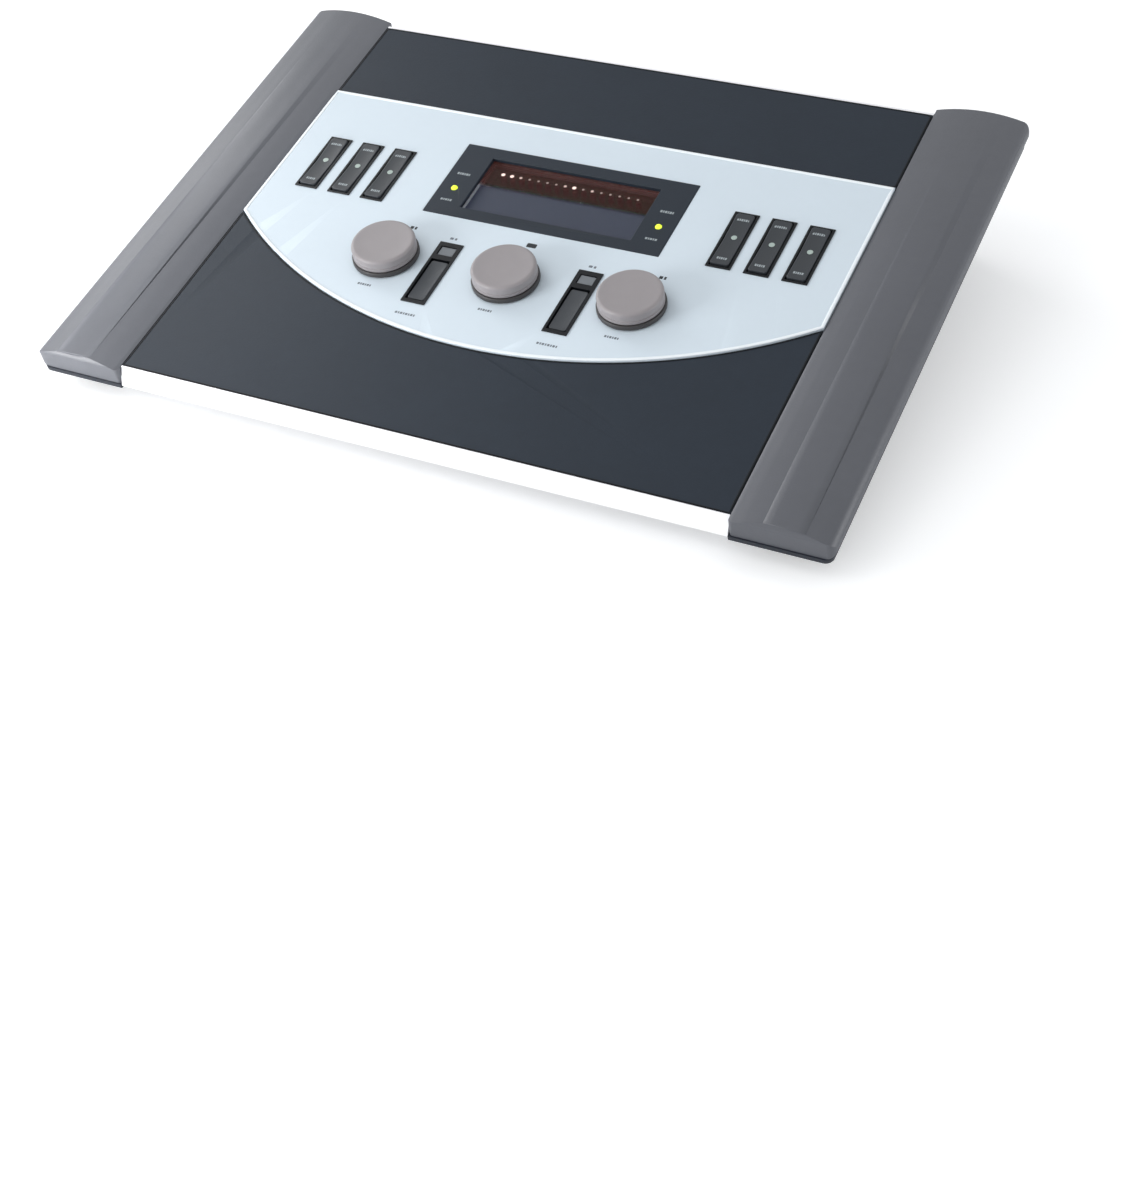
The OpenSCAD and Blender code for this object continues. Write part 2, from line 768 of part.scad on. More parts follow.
// Knob: a flat round cap with a soft rim over a slightly wider foot, hollow round its hub
module knob(u) {
    rim = 1;
    rt = knob_d / 2;
    rf = knob_foot_d / 2;
    foot = knob_low + 2.2;
    color("#9c9799") deck() translate([u, knob_v, 0]) difference() {
        rotate_extrude($fn = 96) {
            polygon([
                [0, knob_low], [rf - 0.3, knob_low], [rf, knob_low + 0.3], [rf, foot - 0.5],
                [rf - 0.5, foot], [rt - 0.2, foot], [rt, foot + 0.4], [rt, knob_top - rim],
                [rt - rim, knob_top - rim], [rt - rim, knob_top], [0, knob_top]
            ]);
            translate([rt - rim, knob_top - rim]) circle(r = rim, $fn = 32);
        }
        difference() {
            rod(0, 0, knob_low - past, knob_roof, rt - 2);
            rod(0, 0, neck_top + rest, knob_top, shaft_d / 2 + 2);
        }
        rod(0, 0, knob_low - past, shaft_top + 0.02, shaft_d / 2 + 0.02);
    }
}

module left_knob() { knob(knob_us[0]); }
module center_knob() { knob(knob_us[1]); }
module right_knob() { knob(knob_us[2]); }

module encoder_shaft(u) {
    color("#b8bcc2") deck() rod(u, knob_v, shaft_foot + rest, shaft_top, shaft_d / 2);
}

module left_encoder_shaft() { encoder_shaft(knob_us[0]); }
module center_encoder_shaft() { encoder_shaft(knob_us[1]); }
module right_encoder_shaft() { encoder_shaft(knob_us[2]); }

module encoder_bodies() {
    color("#8d9299") deck() for (u = knob_us) difference() {
        union() {
            block(u, knob_v, board_top, board_top + encoder_h, encoder_w, encoder_w);
            rod(u, knob_v, board_top, neck_top, neck_r);
        }
        rod(u, knob_v, shaft_foot, neck_top + past, shaft_d / 2 + shaft_play);
    }
}

module encoder_nuts() {
    color("#a9adb3") deck() for (u = knob_us) difference() {
        translate([u, knob_v, fascia_top]) cylinder(h = nut_t, r = neck_r + 2, $fn = 6);
        rod(u, knob_v, fascia_top - past, fascia_top + nut_t + past, neck_r + 0.02);
    }
}

// One black frame round an opening, with a rim that rests on the fascia
module frame(u, v, sx, sy) {
    union() {
        raise(fascia_top, frame_top) frame_plan(u, v, sx, sy);
        raise(frame_low, fascia_top) frame_plan(u, v, sx - 2 * rocker_rim, sy - 2 * rocker_rim);
    }
}

module cross_bore(u, v, reach, r) {
    translate([u - reach, v, pivot_w]) rotate([0, 90, 0]) cylinder(h = 2 * reach, r = r);
}

module rocker_bezels() {
    color("#15181c") deck() for (u = rocker_us) difference() {
        frame(u, rocker_v, rocker_w, rocker_l);
        raise(frame_low - past, frame_top + past) frame_plan(u, rocker_v, rocker_open_w, rocker_open_l);
        cross_bore(u, rocker_v, rocker_w / 2 - rocker_rim + past, pivot_r + pivot_play);
    }
}

// Rocker key: two shallow ramps that meet at a crease, on a hub with pivot stubs
module rocker(u) {
    half = rocker_key_l / 2;
    stub = rocker_w / 2 - rocker_rim;
    plunger_low = switch_top + plunger_arm * sin(rocker_tilt) + rest;
    color("#3c4147") deck() translate([u, rocker_v, 0]) difference() {
        union() {
            along_u(-rocker_key_w / 2, rocker_key_w / 2) polygon([
                [-half, -0.6], [half, -0.6], [half, rocker_end_w - 0.4], [half - 0.4, rocker_end_w],
                [0, rocker_mid_w], [-half + 0.4, rocker_end_w], [-half, rocker_end_w - 0.4]
            ]);
            block(0, 0, pivot_w, 0, rocker_key_w, 2 * hub_r);
            cross_bore(0, 0, rocker_key_w / 2, hub_r);
            cross_bore(0, 0, stub, pivot_r);
            for (s = [-1, 1]) rod(0, s * plunger_arm, plunger_low, 0, plunger_r);
        }
        rod(0, pipe_off, pivot_w - hub_r - past, rocker_end_w + past, pipe_d / 2 + 0.65);
    }
}

module left_outer_rocker() { rocker(rocker_us[0]); }
module left_middle_rocker() { rocker(rocker_us[1]); }
module left_inner_rocker() { rocker(rocker_us[2]); }
module right_inner_rocker() { rocker(rocker_us[3]); }
module right_middle_rocker() { rocker(rocker_us[4]); }
module right_outer_rocker() { rocker(rocker_us[5]); }

module rocker_light_pipes() {
    color("#aebdb9") deck() for (u = rocker_us)
        rod(u, rocker_v + pipe_off, board_top + 2, rocker_mid_w, pipe_d / 2);
}

module slot_bezels() {
    color("#101418") deck() for (u = [-slot_u, slot_u]) difference() {
        frame(u, slot_mid, slot_w, slot_l);
        raise(frame_low - past, frame_top + past) {
            translate([u - slot_open_w / 2, bar_front - 1]) square([slot_open_w, bar_l + 1.7]);
            frame_plan(u, key_mid, key_w, key_l, rest);
        }
        cross_bore(u, bar_pivot_v, slot_w / 2 - rocker_rim + past, pivot_r + pivot_play);
    }
}

// Presentation bar: it tips about stubs at its back end
module tone_bar(u) {
    stub = slot_w / 2 - rocker_rim;
    plunger_low = switch_top + bar_arm * sin(bar_tilt) + rest;
    color("#55595f") deck() translate([u, 0, 0]) union() {
        along_u(-bar_w / 2, bar_w / 2) polygon([
            [bar_front, -1.4], [bar_back, -1.4], [bar_back, bar_top - 0.6], [bar_back - 0.6, bar_top],
            [bar_front + 0.6, bar_top], [bar_front, bar_top - 0.6]
        ]);
        block(0, bar_pivot_v, pivot_w, 0, bar_w, 2 * hub_r);
        cross_bore(0, bar_pivot_v, bar_w / 2, hub_r);
        cross_bore(0, bar_pivot_v, stub, pivot_r);
        rod(0, bar_pivot_v - bar_arm, plunger_low, 0, plunger_r);
    }
}

module left_tone_bar() { tone_bar(-slot_u); }
module right_tone_bar() { tone_bar(slot_u); }

module mode_key(u) {
    color("#7d8287") deck() union() {
        block(u, key_mid, frame_low, key_top, key_w, key_l);
        rod(u, key_mid, switch_top + key_travel + rest, 0, plunger_r);
    }
}

module left_mode_key() { mode_key(-slot_u); }
module right_mode_key() { mode_key(slot_u); }

module control_board() {
    color("#2f7048")
        deck_board(control_half, control_front, control_back, board_low, control_posts);
}

module push_switches() {
    color("#33363a") deck() for (p = switch_places) {
        block(p[0], p[1], board_top, board_top + switch_h, 6, 6);
        rod(p[0], p[1], board_top + switch_h, switch_top, 1.7);
    }
}

module board_leds() {
    color("#e6f2c8") deck() for (u = rocker_us)
        rod(u, rocker_v + pipe_off, board_top, board_top + 2, 1.5);
}

// Lower casing
module base_tray() {
    color("#40454d") difference() {
        union() {
            difference() {
                translate([-tray_half, tray_front, foot_h])
                    cube([2 * tray_half, tray_back - tray_front, 100]);
                translate([-bay_half, bay_front, floor_top])
                    cube([2 * bay_half, tray_back - bay_front + past, 200]);
            }
            // guides that hold the rear panel at both ends
            for (x = [-bay_half, bay_half - guide_w]) for (y = [rear_in - guide_t - 0.2, rear_y + 0.2])
                translate([x, y, foot_h]) cube([guide_w, min(guide_t, tray_back - y), 100]);
            for (x = [-column_x, column_x]) for (y = column_ys) rod(x, y, foot_h, 100, column_r);
            for (p = concat(power_posts, main_posts)) rod(p[0], p[1], foot_h, pcb_low, post_r);
        }
        above(-slab_t);
        for (p = concat(power_posts, main_posts))
            rod(p[0], p[1], floor_top - 1, pcb_low + past, pilot_r);
        for (x = [-column_x, column_x]) for (y = column_ys) {
            rod(x, y, foot_h - past, plane_z(-slab_t, y) - screw_hold, 3.7);
            rod(x, y, foot_h, 120, 2);
        }
        foot_places() rod(0, 0, foot_h - past, foot_h + foot_pocket, foot_d / 2 + fit);
    }
}

module foot_places() {
    for (x = [-1, 1]) for (y = [tray_front + 24, tray_back - 24])
        translate([x * (tray_half - foot_d / 2 - 12), y, 0]) children();
}

module rubber_feet() {
    color("#1b1c1e") foot_places() rod(0, 0, 0, foot_h + foot_pocket, foot_d / 2);
}

// An opening in the rear panel for a socket of the given size
module rear_cut(x, size, play) {
    rear_block(x, rear_z, rear_in - past, rear_y + past, size[0] + 2 * play, size[1] + 2 * play);
}

module rear_panel() {
    color("#9aa0a6") difference() {
        translate([-bay_half + seam, rear_in, floor_top]) cube([2 * (bay_half - seam), rear_t, 100]);
        above(-slab_t);
        for (x = jack_xs) rear_rod(x, rear_z, rear_in - past, rear_y + past, jack_neck / 2 + 0.2);
        rear_cut(inlet_x, inlet_cut, fit);
        rear_cut(power_x, power_cut, fit);
        rear_cut(port_x, port_shell, 3 * fit);
    }
}

// Sockets for the plugs of the headphones, the bone conductor, the response button and the microphone
module jack_sockets() {
    color("#222529") for (x = jack_xs) difference() {
        union() {
            rear_block(x, rear_z, rear_in - jack_body[1], rear_in, jack_body[0], jack_body[2]);
            rear_rod(x, rear_z, rear_in - 1, rear_y + jack_out, jack_neck / 2);
        }
        rear_rod(x, rear_z, rear_in - jack_body[1] + 2, rear_y + jack_out + past, jack_bore / 2);
    }
}

module jack_nuts() {
    color("#b5b9be") for (x = jack_xs) difference() {
        rear_rod(x, rear_z, rear_y, rear_y + 2.4, jack_neck / 2 + 2.4, 6);
        rear_rod(x, rear_z, rear_y - past, rear_y + 2.4 + past, jack_neck / 2 + 0.02);
    }
}

module mains_inlet() {
    color("#17181a") difference() {
        union() {
            rear_block(inlet_x, rear_z, rear_in - inlet_deep, rear_y + root, inlet_cut[0], inlet_cut[1]);
            rear_block(inlet_x, rear_z, rear_y, rear_y + 2, inlet_w, inlet_h);
        }
        rear_block(inlet_x, rear_z, rear_y + 2 - recess[1], rear_y + 2 + past, recess[0], recess[2]);
        inlet_pin_blocks(rear_in - inlet_deep - past, rear_y);
    }
}

module inlet_pin_blocks(y0, y1) {
    for (p = inlet_pins) rear_block(inlet_x + p[0], rear_z + p[1], y0, y1, 2, 4);
}

// Blades of the mains inlet, with their tabs inside the case
module inlet_blades() {
    color("#c9a95c") inlet_pin_blocks(rear_in - inlet_deep - 5, rear_y - 4.4);
}

module power_switch_body() {
    color("#17181a") difference() {
        union() {
            rear_block(power_x, rear_z, rear_in - 14, rear_y + root, power_cut[0], power_cut[1]);
            rear_block(power_x, rear_z, rear_y, rear_y + 1.6, power_w, power_h);
        }
        rear_block(power_x, rear_z, rear_in - 10, rear_y + 1.6 + past, power_open[0], power_open[1]);
        translate([power_x - power_cut[0] / 2 - past, power_pivot_y, rear_z]) rotate([0, 90, 0])
            cylinder(h = power_cut[0] + 2 * past, r = pivot_r + pivot_play);
    }
}

// Rocker of the power switch, shown switched off
module power_rocker() {
    r = power_open[1] / 2 - 1.1;
    s = power_open[0] - 0.8;
    color("#24262a") translate([power_x, power_pivot_y, rear_z]) rotate([power_swing / 2, 0, 0]) {
        difference() {
            translate([-s / 2, 0, 0]) rotate([0, 90, 0]) cylinder(h = s, r = r);
            translate([-s, -2 * r - 1.6, -2 * r]) cube([2 * s, 2 * r, 4 * r]);
            translate([-s, rear_y - power_pivot_y + 2.4, -2 * r]) cube([2 * s, 2 * r, 4 * r]);
        }
        translate([-power_cut[0] / 2, 0, 0]) rotate([0, 90, 0]) cylinder(h = power_cut[0], r = pivot_r);
    }
}

// Nine-way data port: a keystone-shaped block with contact holes, on a flange
module data_port() {
    w = port_shell[0] / 2;
    h = port_shell[1] / 2;
    color("#a5a9ae") translate([port_x, 0, rear_z]) difference() {
        union() {
            rear_block(0, 0, rear_in - 8, rear_in, port_flange[0], port_flange[1]);
            translate([0, rear_y + port_out, 0]) rotate([90, 0, 0]) linear_extrude(rear_t + port_out + 1)
                polygon([[-w, h], [w, h], [w - port_taper, -h], [-w + port_taper, -h]]);
        }
        for (p = port_holes) rear_rod(p[0], p[1], rear_y, rear_y + port_out + past, 0.5);
    }
}

// Boards in the tray
module tray_board(x0, x1, y0, y1, posts) {
    difference() {
        translate([x0, y0, pcb_low]) cube([x1 - x0, y1 - y0, pcb_t]);
        for (p = posts) rod(p[0], p[1], pcb_low - past, pcb_top + past, board_hole_r);
    }
}

module main_board() { color("#2f7048") tray_board(main_x0, main_x1, main_y0, main_y1, main_posts); }
module power_board() { color("#2f7048") tray_board(power_x0, power_x1, power_y0, power_y1, power_posts); }

module main_board_chips() {
    color("#202226") {
        block(main_x0 + chip_in + chip_w / 2, main_mid_y, pcb_top, pcb_top + chip_t, chip_w, chip_w);
        block(main_mid + chip_w / 3, main_mid_y + chip_w / 4, pcb_top, pcb_top + 0.8 * chip_t,
            0.58 * chip_w, 0.84 * chip_w);
        for (i = [0:3]) for (side = [-1, 1])
            block(main_mid + 1.4 * chip_w + chip_pitch * i, main_mid_y + (1 / 8 + 0.46 * side) * chip_w,
                pcb_top, pcb_top + 0.9 * chip_t, chip_w / 4, chip_w / 2);
    }
}

module board_connectors() {
    color("#1d1f22") {
        deck() block(ribbon_x, ribbon_v, board_low - socket_h, board_low, socket_w, header_d);
        block(ribbon_x, ribbon_down[0], pcb_top, ribbon_down[1], socket_w, header_d);
        for (x = [power_x1 - header_d, main_x0 + header_d])
            block(x, main_mid_y - chip_w / 2, pcb_top, pcb_top + header_h, header_d, header_l);
    }
}

// Ribbon between the boards: it bows forwards in one gentle arc
module ribbon_cable() {
    chord = ribbon_up[1] - ribbon_down[1];
    lean = 0.35 * chord;
    steps = 12;
    function path(t) = [ribbon_down[0] - lean * sin(180 * t), ribbon_down[1] + chord * t];
    edge = [for (i = [0:steps]) path(i / steps)];
    front = [for (p = edge) p - [ribbon_t / 2, 0]];
    back = [for (i = [steps:-1:0]) edge[i] + [ribbon_t / 2, 0]];
    color("#8f949b") along_u(ribbon_x - ribbon_w / 2, ribbon_x + ribbon_w / 2)
        polygon(concat(front, back));
}

module transformer_coil(depth) {
    block(core_x, core_y, pcb_top + core_sheet, pcb_top + core_h - core_sheet, core_w - 2 * core_leg, depth);
}

module transformer() {
    color("#b08a4a") {
        difference() {
            block(core_x, core_y, pcb_top, pcb_top + core_h, core_w, core_d);
            transformer_coil(core_d + past);
        }
        transformer_coil(core_d + 2 * coil_out);
    }
}

// Cans that stand on the power board, with the front corner of the first one's square at x and y
module can(x, y, d, h) {
    rod(x + d / 2, y + d / 2, pcb_top, pcb_top + h, d / 2);
}

module power_capacitors() {
    color("#2b3a55") {
        for (i = [0:2])
            can(power_x0 + can_in + (can_d + can_gap) * i, power_y0 + can_in, can_d, can_h);
        for (i = [0:1])
            can(core_x + core_w / 2 + core_leg / 2, core_y - 1.3 * can_in - (small_can_d + coil_out) * i,
                small_can_d, small_can_h);
    }
}

module heat_sink() {
    fins = 7;
    sink_y = core_y + coil_out;
    sink_x = power_x1 - sink_in;
    color("#8c9096") union() {
        block(sink_x, sink_y, pcb_top, pcb_top + core_h, sink_web, sink_l);
        for (i = [0:fins - 1]) {
            y = sink_y + (i / (fins - 1) - 0.5) * (sink_l - fin_t);
            block(sink_x + fin_l / 2, y, pcb_top, pcb_top + core_h, fin_l, fin_t);
        }
    }
}

// A wire that runs back to a tab from the board that it stands on, with a rounded elbow
module wire(x, y, z, reach) {
    union() {
        rod(x, y, pcb_top, z, wire_r);
        translate([x, y, z]) sphere(r = wire_r + 0.1);
        rear_rod(x, z, y, y + reach, wire_r);
    }
}

module mains_wires() {
    color("#7a4a2a") {
        for (p = inlet_pins) wire(inlet_x + p[0], rear_in - inlet_deep - 8, rear_z + p[1], 3);
        for (i = [-1, 1]) wire(power_x + 3 * i, rear_in - 20, rear_z, 6);
    }
}

// A pan-head screw that points up, with the underside of its head at z
module screw(x, y, z, length, head_r, head_h, r) {
    union() {
        rod(x, y, z - head_h, z, head_r);
        rod(x, y, z - 0.1, z + length, r);
    }
}

module case_screws() {
    color("#9a9ea3") {
        for (x = [-column_x, column_x]) for (y = column_ys)
            screw(x, y, plane_z(-slab_t, y) - screw_hold, screw_hold + 3, 3.2, 2, 1.55);
        deck() for (s = cap_screws) for (side = [-1, 1])
            screw(side * s[0], s[1], cap_base_low + 1, plate_top + 0.8 - cap_base_low, 2.6, 0.9, shank_r);
    }
}

module board_screws() {
    color("#a4a8ad") {
        deck() for (p = control_posts) screw(p[0], p[1], board_low, pcb_t + 4.5, 2.4, 1.5, shank_r);
        for (p = concat(power_posts, main_posts)) translate([p[0], p[1], pcb_top])
            rotate([180, 0, 0]) screw(0, 0, 0, pcb_t + post_h, 2.4, 1.5, shank_r);
    }
}

base_tray();
rubber_feet();
rear_panel();
deck_frame();
front_panel();
back_panel();
control_fascia();
left_end_cap();
right_end_cap();
left_cap_base();
right_cap_base();
display_bezel();
display_window();
level_filter();
lcd_glass();
display_board();
level_leds();
indicator_leds();
left_knob();
center_knob();
right_knob();
left_encoder_shaft();
center_encoder_shaft();
right_encoder_shaft();
encoder_bodies();
encoder_nuts();
left_outer_rocker();
left_middle_rocker();
left_inner_rocker();
right_inner_rocker();
right_middle_rocker();
right_outer_rocker();
rocker_bezels();
rocker_light_pipes();
left_tone_bar();
right_tone_bar();
left_mode_key();
right_mode_key();
slot_bezels();
control_board();
push_switches();
board_leds();
main_board();
main_board_chips();
board_connectors();
ribbon_cable();
power_board();
transformer();
power_capacitors();
heat_sink();
jack_sockets();
jack_nuts();
mains_inlet();
inlet_blades();
power_switch_body();
power_rocker();
data_port();
mains_wires();
case_screws();
board_screws();
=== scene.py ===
"""Looks of a desk audiometer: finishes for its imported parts, refined controls, marks and a plain studio.

Metres, in the row frame: +Z up, +X to the operator's right, +Y to the back. On the slab, u runs across,
v up the slope from the panels' front edge, and w square to it, with w = 0 at the dark panels' face.
"""

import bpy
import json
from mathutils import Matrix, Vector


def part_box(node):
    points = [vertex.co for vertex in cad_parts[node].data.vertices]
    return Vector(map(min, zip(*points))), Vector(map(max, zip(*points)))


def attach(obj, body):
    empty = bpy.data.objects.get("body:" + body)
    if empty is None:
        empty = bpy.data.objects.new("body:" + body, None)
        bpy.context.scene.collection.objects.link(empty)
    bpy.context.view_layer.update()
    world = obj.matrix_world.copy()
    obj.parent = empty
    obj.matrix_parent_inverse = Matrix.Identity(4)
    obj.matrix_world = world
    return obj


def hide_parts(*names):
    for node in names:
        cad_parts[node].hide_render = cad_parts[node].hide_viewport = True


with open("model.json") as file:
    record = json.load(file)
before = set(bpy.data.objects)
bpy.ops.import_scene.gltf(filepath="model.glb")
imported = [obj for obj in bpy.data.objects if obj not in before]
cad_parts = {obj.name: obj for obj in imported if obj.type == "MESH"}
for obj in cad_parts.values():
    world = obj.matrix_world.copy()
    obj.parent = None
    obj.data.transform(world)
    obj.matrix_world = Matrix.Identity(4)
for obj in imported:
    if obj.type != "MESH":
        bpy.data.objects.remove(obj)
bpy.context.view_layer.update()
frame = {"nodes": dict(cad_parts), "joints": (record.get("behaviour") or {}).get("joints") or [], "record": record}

import json
import math

import bmesh
import bpy
import numpy as np
from bpy.props import FloatProperty, FloatVectorProperty, PointerProperty
from mathutils import Matrix, Vector

bl_info = {
    "name": "Desk audiometer",
    "version": (1, 0, 0),
    "blender": (4, 5, 0),
    "location": "3D View > Sidebar > Audiometer",
    "description": "Finishes, refined controls, marks and a studio for the packed audiometer",
    "category": "Object",
}

MM = 0.001
ROUND = 96  # points round a full circle
HAIR = 1e-6  # a length too small to see
PRINT = 0.03 * MM  # half the thickness of a printed digit
SHARP = math.radians(40)  # an edge that turns more than this gets a small round
JOINTS = {joint["name"]: joint for joint in frame["joints"]}
ROCKERS = ("left_outer", "left_middle", "left_inner", "right_inner", "right_middle", "right_outer")

# ---- the slab's own frame

ACROSS = np.array([1.0, 0.0, 0.0])
SQUARE = np.array(JOINTS["center_knob_turn"]["axis"], float)
SQUARE /= np.linalg.norm(SQUARE)
UPHILL = np.cross(SQUARE, ACROSS)
AXES = np.stack([ACROSS, UPHILL, SQUARE])


def slab_origin():
    """The middle of the panels' front edge, in the plane of the knobs' joints."""
    knob = np.array(JOINTS["center_knob_turn"]["pos_m"], float)
    front_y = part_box("front_panel")[0].y
    return knob - UPHILL * (knob[1] - front_y) / UPHILL[1]


ORIGIN = slab_origin()


def on_slab(points):
    """Points given in u, v, w as points of the row frame."""
    return ORIGIN + np.asarray(points, float) @ AXES


def mesh_points(mesh):
    """A mesh's vertices as rows of x, y, z."""
    flat = np.zeros(len(mesh.vertices) * 3, np.float32)
    mesh.vertices.foreach_get("co", flat)
    return flat.reshape(-1, 3).astype(float)


def slab_points(node):
    """The vertices of a CAD node in u, v, w."""
    return (mesh_points(frame["nodes"][node].data) - ORIGIN) @ AXES.T


def slab_box(node):
    """Lowest and highest u, v, w of a CAD node."""
    points = slab_points(node)
    return points.min(0), points.max(0)


def joint_place(name):
    """A joint's point in u, v, w."""
    return (np.array(JOINTS[name]["pos_m"], float) - ORIGIN) @ AXES.T


def shade(code):
    """A colour written as six hexadecimal digits, as the linear numbers that a shader takes."""
    srgb = np.array([int(code[i : i + 2], 16) for i in (0, 2, 4)]) / 255
    return tuple(np.where(srgb <= 0.04045, srgb / 12.92, ((srgb + 0.055) / 1.055) ** 2.4))


# ---- settings


def colour_setting(name, description, code):
    return FloatVectorProperty(
        name=name, description=description, subtype="COLOR", size=3, min=0, max=1, default=shade(code)
    )


def number_setting(name, description, default, high, low=0, **kind):
    return FloatProperty(name=name, description=description, default=default, min=low, max=high, **kind)


def size_setting(name, description, default, low, high):
    """A length, given in mm."""
    lengths = (default * MM, high * MM, low * MM)
    return number_setting(name, description, *lengths, subtype="DISTANCE", unit="LENGTH")


class AudiometerCase(bpy.types.PropertyGroup):
    """Colours and sizes of the case"""

    # The two end caps are one grey plastic: the left cap's lighter grey is painted light, and the right cap's
    # darker grey is painted shade.
    left_cap: colour_setting("Left end cap", "Grey of the left end cap, which stands in more light", "696b71")
    right_cap: colour_setting("Right end cap", "Grey of the right end cap", "5d5f65")
    cap_base: colour_setting("Cap bases", "Dark blue-grey of the lower shells", "20252f")
    panel: colour_setting("Panels", "Slate of the two dark panels", "222b36")
    # The panel border is a dark bead: painted shadow of the gaps along the panels' edges and outside the fascia.
    border: colour_setting("Panel border", "Near black of the seal along the panels' edges", "0e1217")
    fascia: colour_setting("Fascia", "Pale blue-grey of the control fascia", "d4e0e9")
    deck: colour_setting("Upper moulding", "White of the front strip and the back lip", "f9f9fc")
    tray: colour_setting("Lower tray", "Dark grey of the lower casing", "3a3f47")
    rear: colour_setting("Rear panel", "Painted socket panel", "8f959b")
    # The fascia's rim is a raised bead in a whiter colour than the fascia: a painted highlight along the fascia's
    # edge.
    rim_width: size_setting("Fascia rim", "Width of the bright rim round the fascia", 1.5, 0.5, 3)
    rim_rise: size_setting("Rim rise", "Height of the rim above the fascia", 0.25, 0.05, 1)
    border_width: size_setting("Panel border", "Width of the dark seal along the panels' edges", 0.9, 0.4, 2)


class AudiometerControls(bpy.types.PropertyGroup):
    """Colours and sizes of knobs, keys, lamps and marks"""

    knob: colour_setting("Knobs", "Warm grey of the knobs", "959092")
    # The knob foot's grey is partly a darker ring that the knob has and partly painted shade of the knob's shaded
    # sides.
    knob_side: colour_setting("Knob foot", "Darker grey of a knob's foot", "3a3839")
    key: colour_setting("Rocker keys", "Dark grey of the rocker keys", "33373c")
    bar: colour_setting("Bars", "Grey of the long bars", "3d4146")
    small_key: colour_setting("Small keys", "Paler grey of the small keys", "73787d")
    frame: colour_setting("Frames", "Black of the frames round the keys", "0f1216")
    bezel: colour_setting("Bezel", "Dark blue-grey of the display's bezel", "252d37")
    # The unlit screen is given a faint glow in the display step: painted light.
    screen: colour_setting("Screen", "Slate of the unlit display", "2a2e3c")
    filter: colour_setting("Filter", "Dark red of the level filter", "451410")
    mark: colour_setting("Marks on pale", "Grey of the marks on the fascia", "6f7780")
    pale_mark: colour_setting("Marks on dark", "Pale grey of the marks on keys and bezel", "9ea7ab")
    lamp: colour_setting("Lamps", "Yellow-green of the two lamps", "d6ea3e")
    dot: colour_setting("Level dots", "Pinkish white of the level dots", "f0d2c8")
    lamp_glow: number_setting("Lamp glow", "Strength of the two lamps", 0.8, 5)
    dot_glow: number_setting("Dot glow", "Strength of the brightest dots", 0.5, 5)


class AudiometerStudio(bpy.types.PropertyGroup):
    """Floor, lamps and lens"""

    floor: colour_setting("Floor", "Pale floor", "f8f9fa")
    floor_lift: number_setting("Floor lift", "Light that the floor adds where the camera sees it", 0.3, 1)
    lens: number_setting("Lens", "Focal length over a 36 mm sensor", 57.95, 200, 20)
    sky: number_setting("Sky", "Light that comes evenly from all round", 0.62, 2)
    key: number_setting("Key light", "Power of the high softbox", 3.6, 100, unit="POWER")
    front: number_setting("Front light", "Power of the low softbox at the left", 2.4, 100, unit="POWER")
    sheen: number_setting("Sheen light", "Power of the softbox behind the left side", 3, 100, unit="POWER")
    rim: number_setting("Rim light", "Power of the low softbox at the right side", 1.6, 100, unit="POWER")


# ---- surfaces


def outline(width, depth, corner, count):
    """A rounded rectangle: quarter circles about four centres, resampled at equal steps of arc length."""
    turn = (np.arange(ROUND) + 0.5) * 2 * np.pi / ROUND
    corner = min(corner, width / 2 - HAIR, depth / 2 - HAIR)
    x = np.sign(np.cos(turn)) * (width / 2 - corner) + corner * np.cos(turn)
    y = np.sign(np.sin(turn)) * (depth / 2 - corner) + corner * np.sin(turn)
    start = (x[0] + x[-1]) / 2
    x, y = np.r_[start, x, start], np.r_[0.0, y, 0.0]
    length = np.r_[0, np.cumsum(np.hypot(np.diff(x), np.diff(y)))]
    at = np.arange(count) * length[-1] / count
    return np.stack([np.interp(at, length, x), np.interp(at, length, y)], 1)


def stack(rings, loop=False):
    """A form: points and blocks of faces. Quads join neighbouring rings, and a fan closes each open end."""
    rings = np.asarray(rings, float)
    rows, count = rings.shape[:2]
    index = np.arange(rows * count).reshape(rows, count)
    low = index if loop else index[:-1]
    high = np.roll(index, -1, 0) if loop else index[1:]
    quads = np.stack([low, np.roll(low, -1, 1), np.roll(high, -1, 1), high], -1).reshape(-1, 4)
    points = rings.reshape(-1, 3)
    if loop:
        return points, [quads]
    ends = np.stack([rings[0].mean(0), rings[-1].mean(0)])
    first, last = index[0], index[-1]
    fan = np.stack([np.roll(first, -1), first, np.full(count, len(points))], 1)
    fan_top = np.stack([last, np.roll(last, -1), np.full(count, len(points) + 1)], 1)
    return np.concatenate([points, ends]), [quads, fan, fan_top]


def turned(profile, centre, axes=AXES, count=ROUND):
    """A turned form: each (radius, height) of the profile, in mm, goes round the axis at the centre, as
    p = c + r (cos t a + sin t b) + h n."""
    radius, height = np.asarray(profile, float).T * MM
    turn = np.arange(count) * 2 * np.pi / count
    round_axis = np.cos(turn)[:, None] * axes[0] + np.sin(turn)[:, None] * axes[1]
    rings = radius[:, None, None] * round_axis + height[:, None, None] * axes[2]
    return stack(np.asarray(centre, float) + rings)


def arc(centre, radius, start, end, steps):
    """Points of an arc in a profile, with angles in degrees from the radius towards the axis."""
    angle = np.radians(np.linspace(start, end, steps))
    return [(centre[0] + radius * math.cos(a), centre[1] + radius * math.sin(a)) for a in angle]


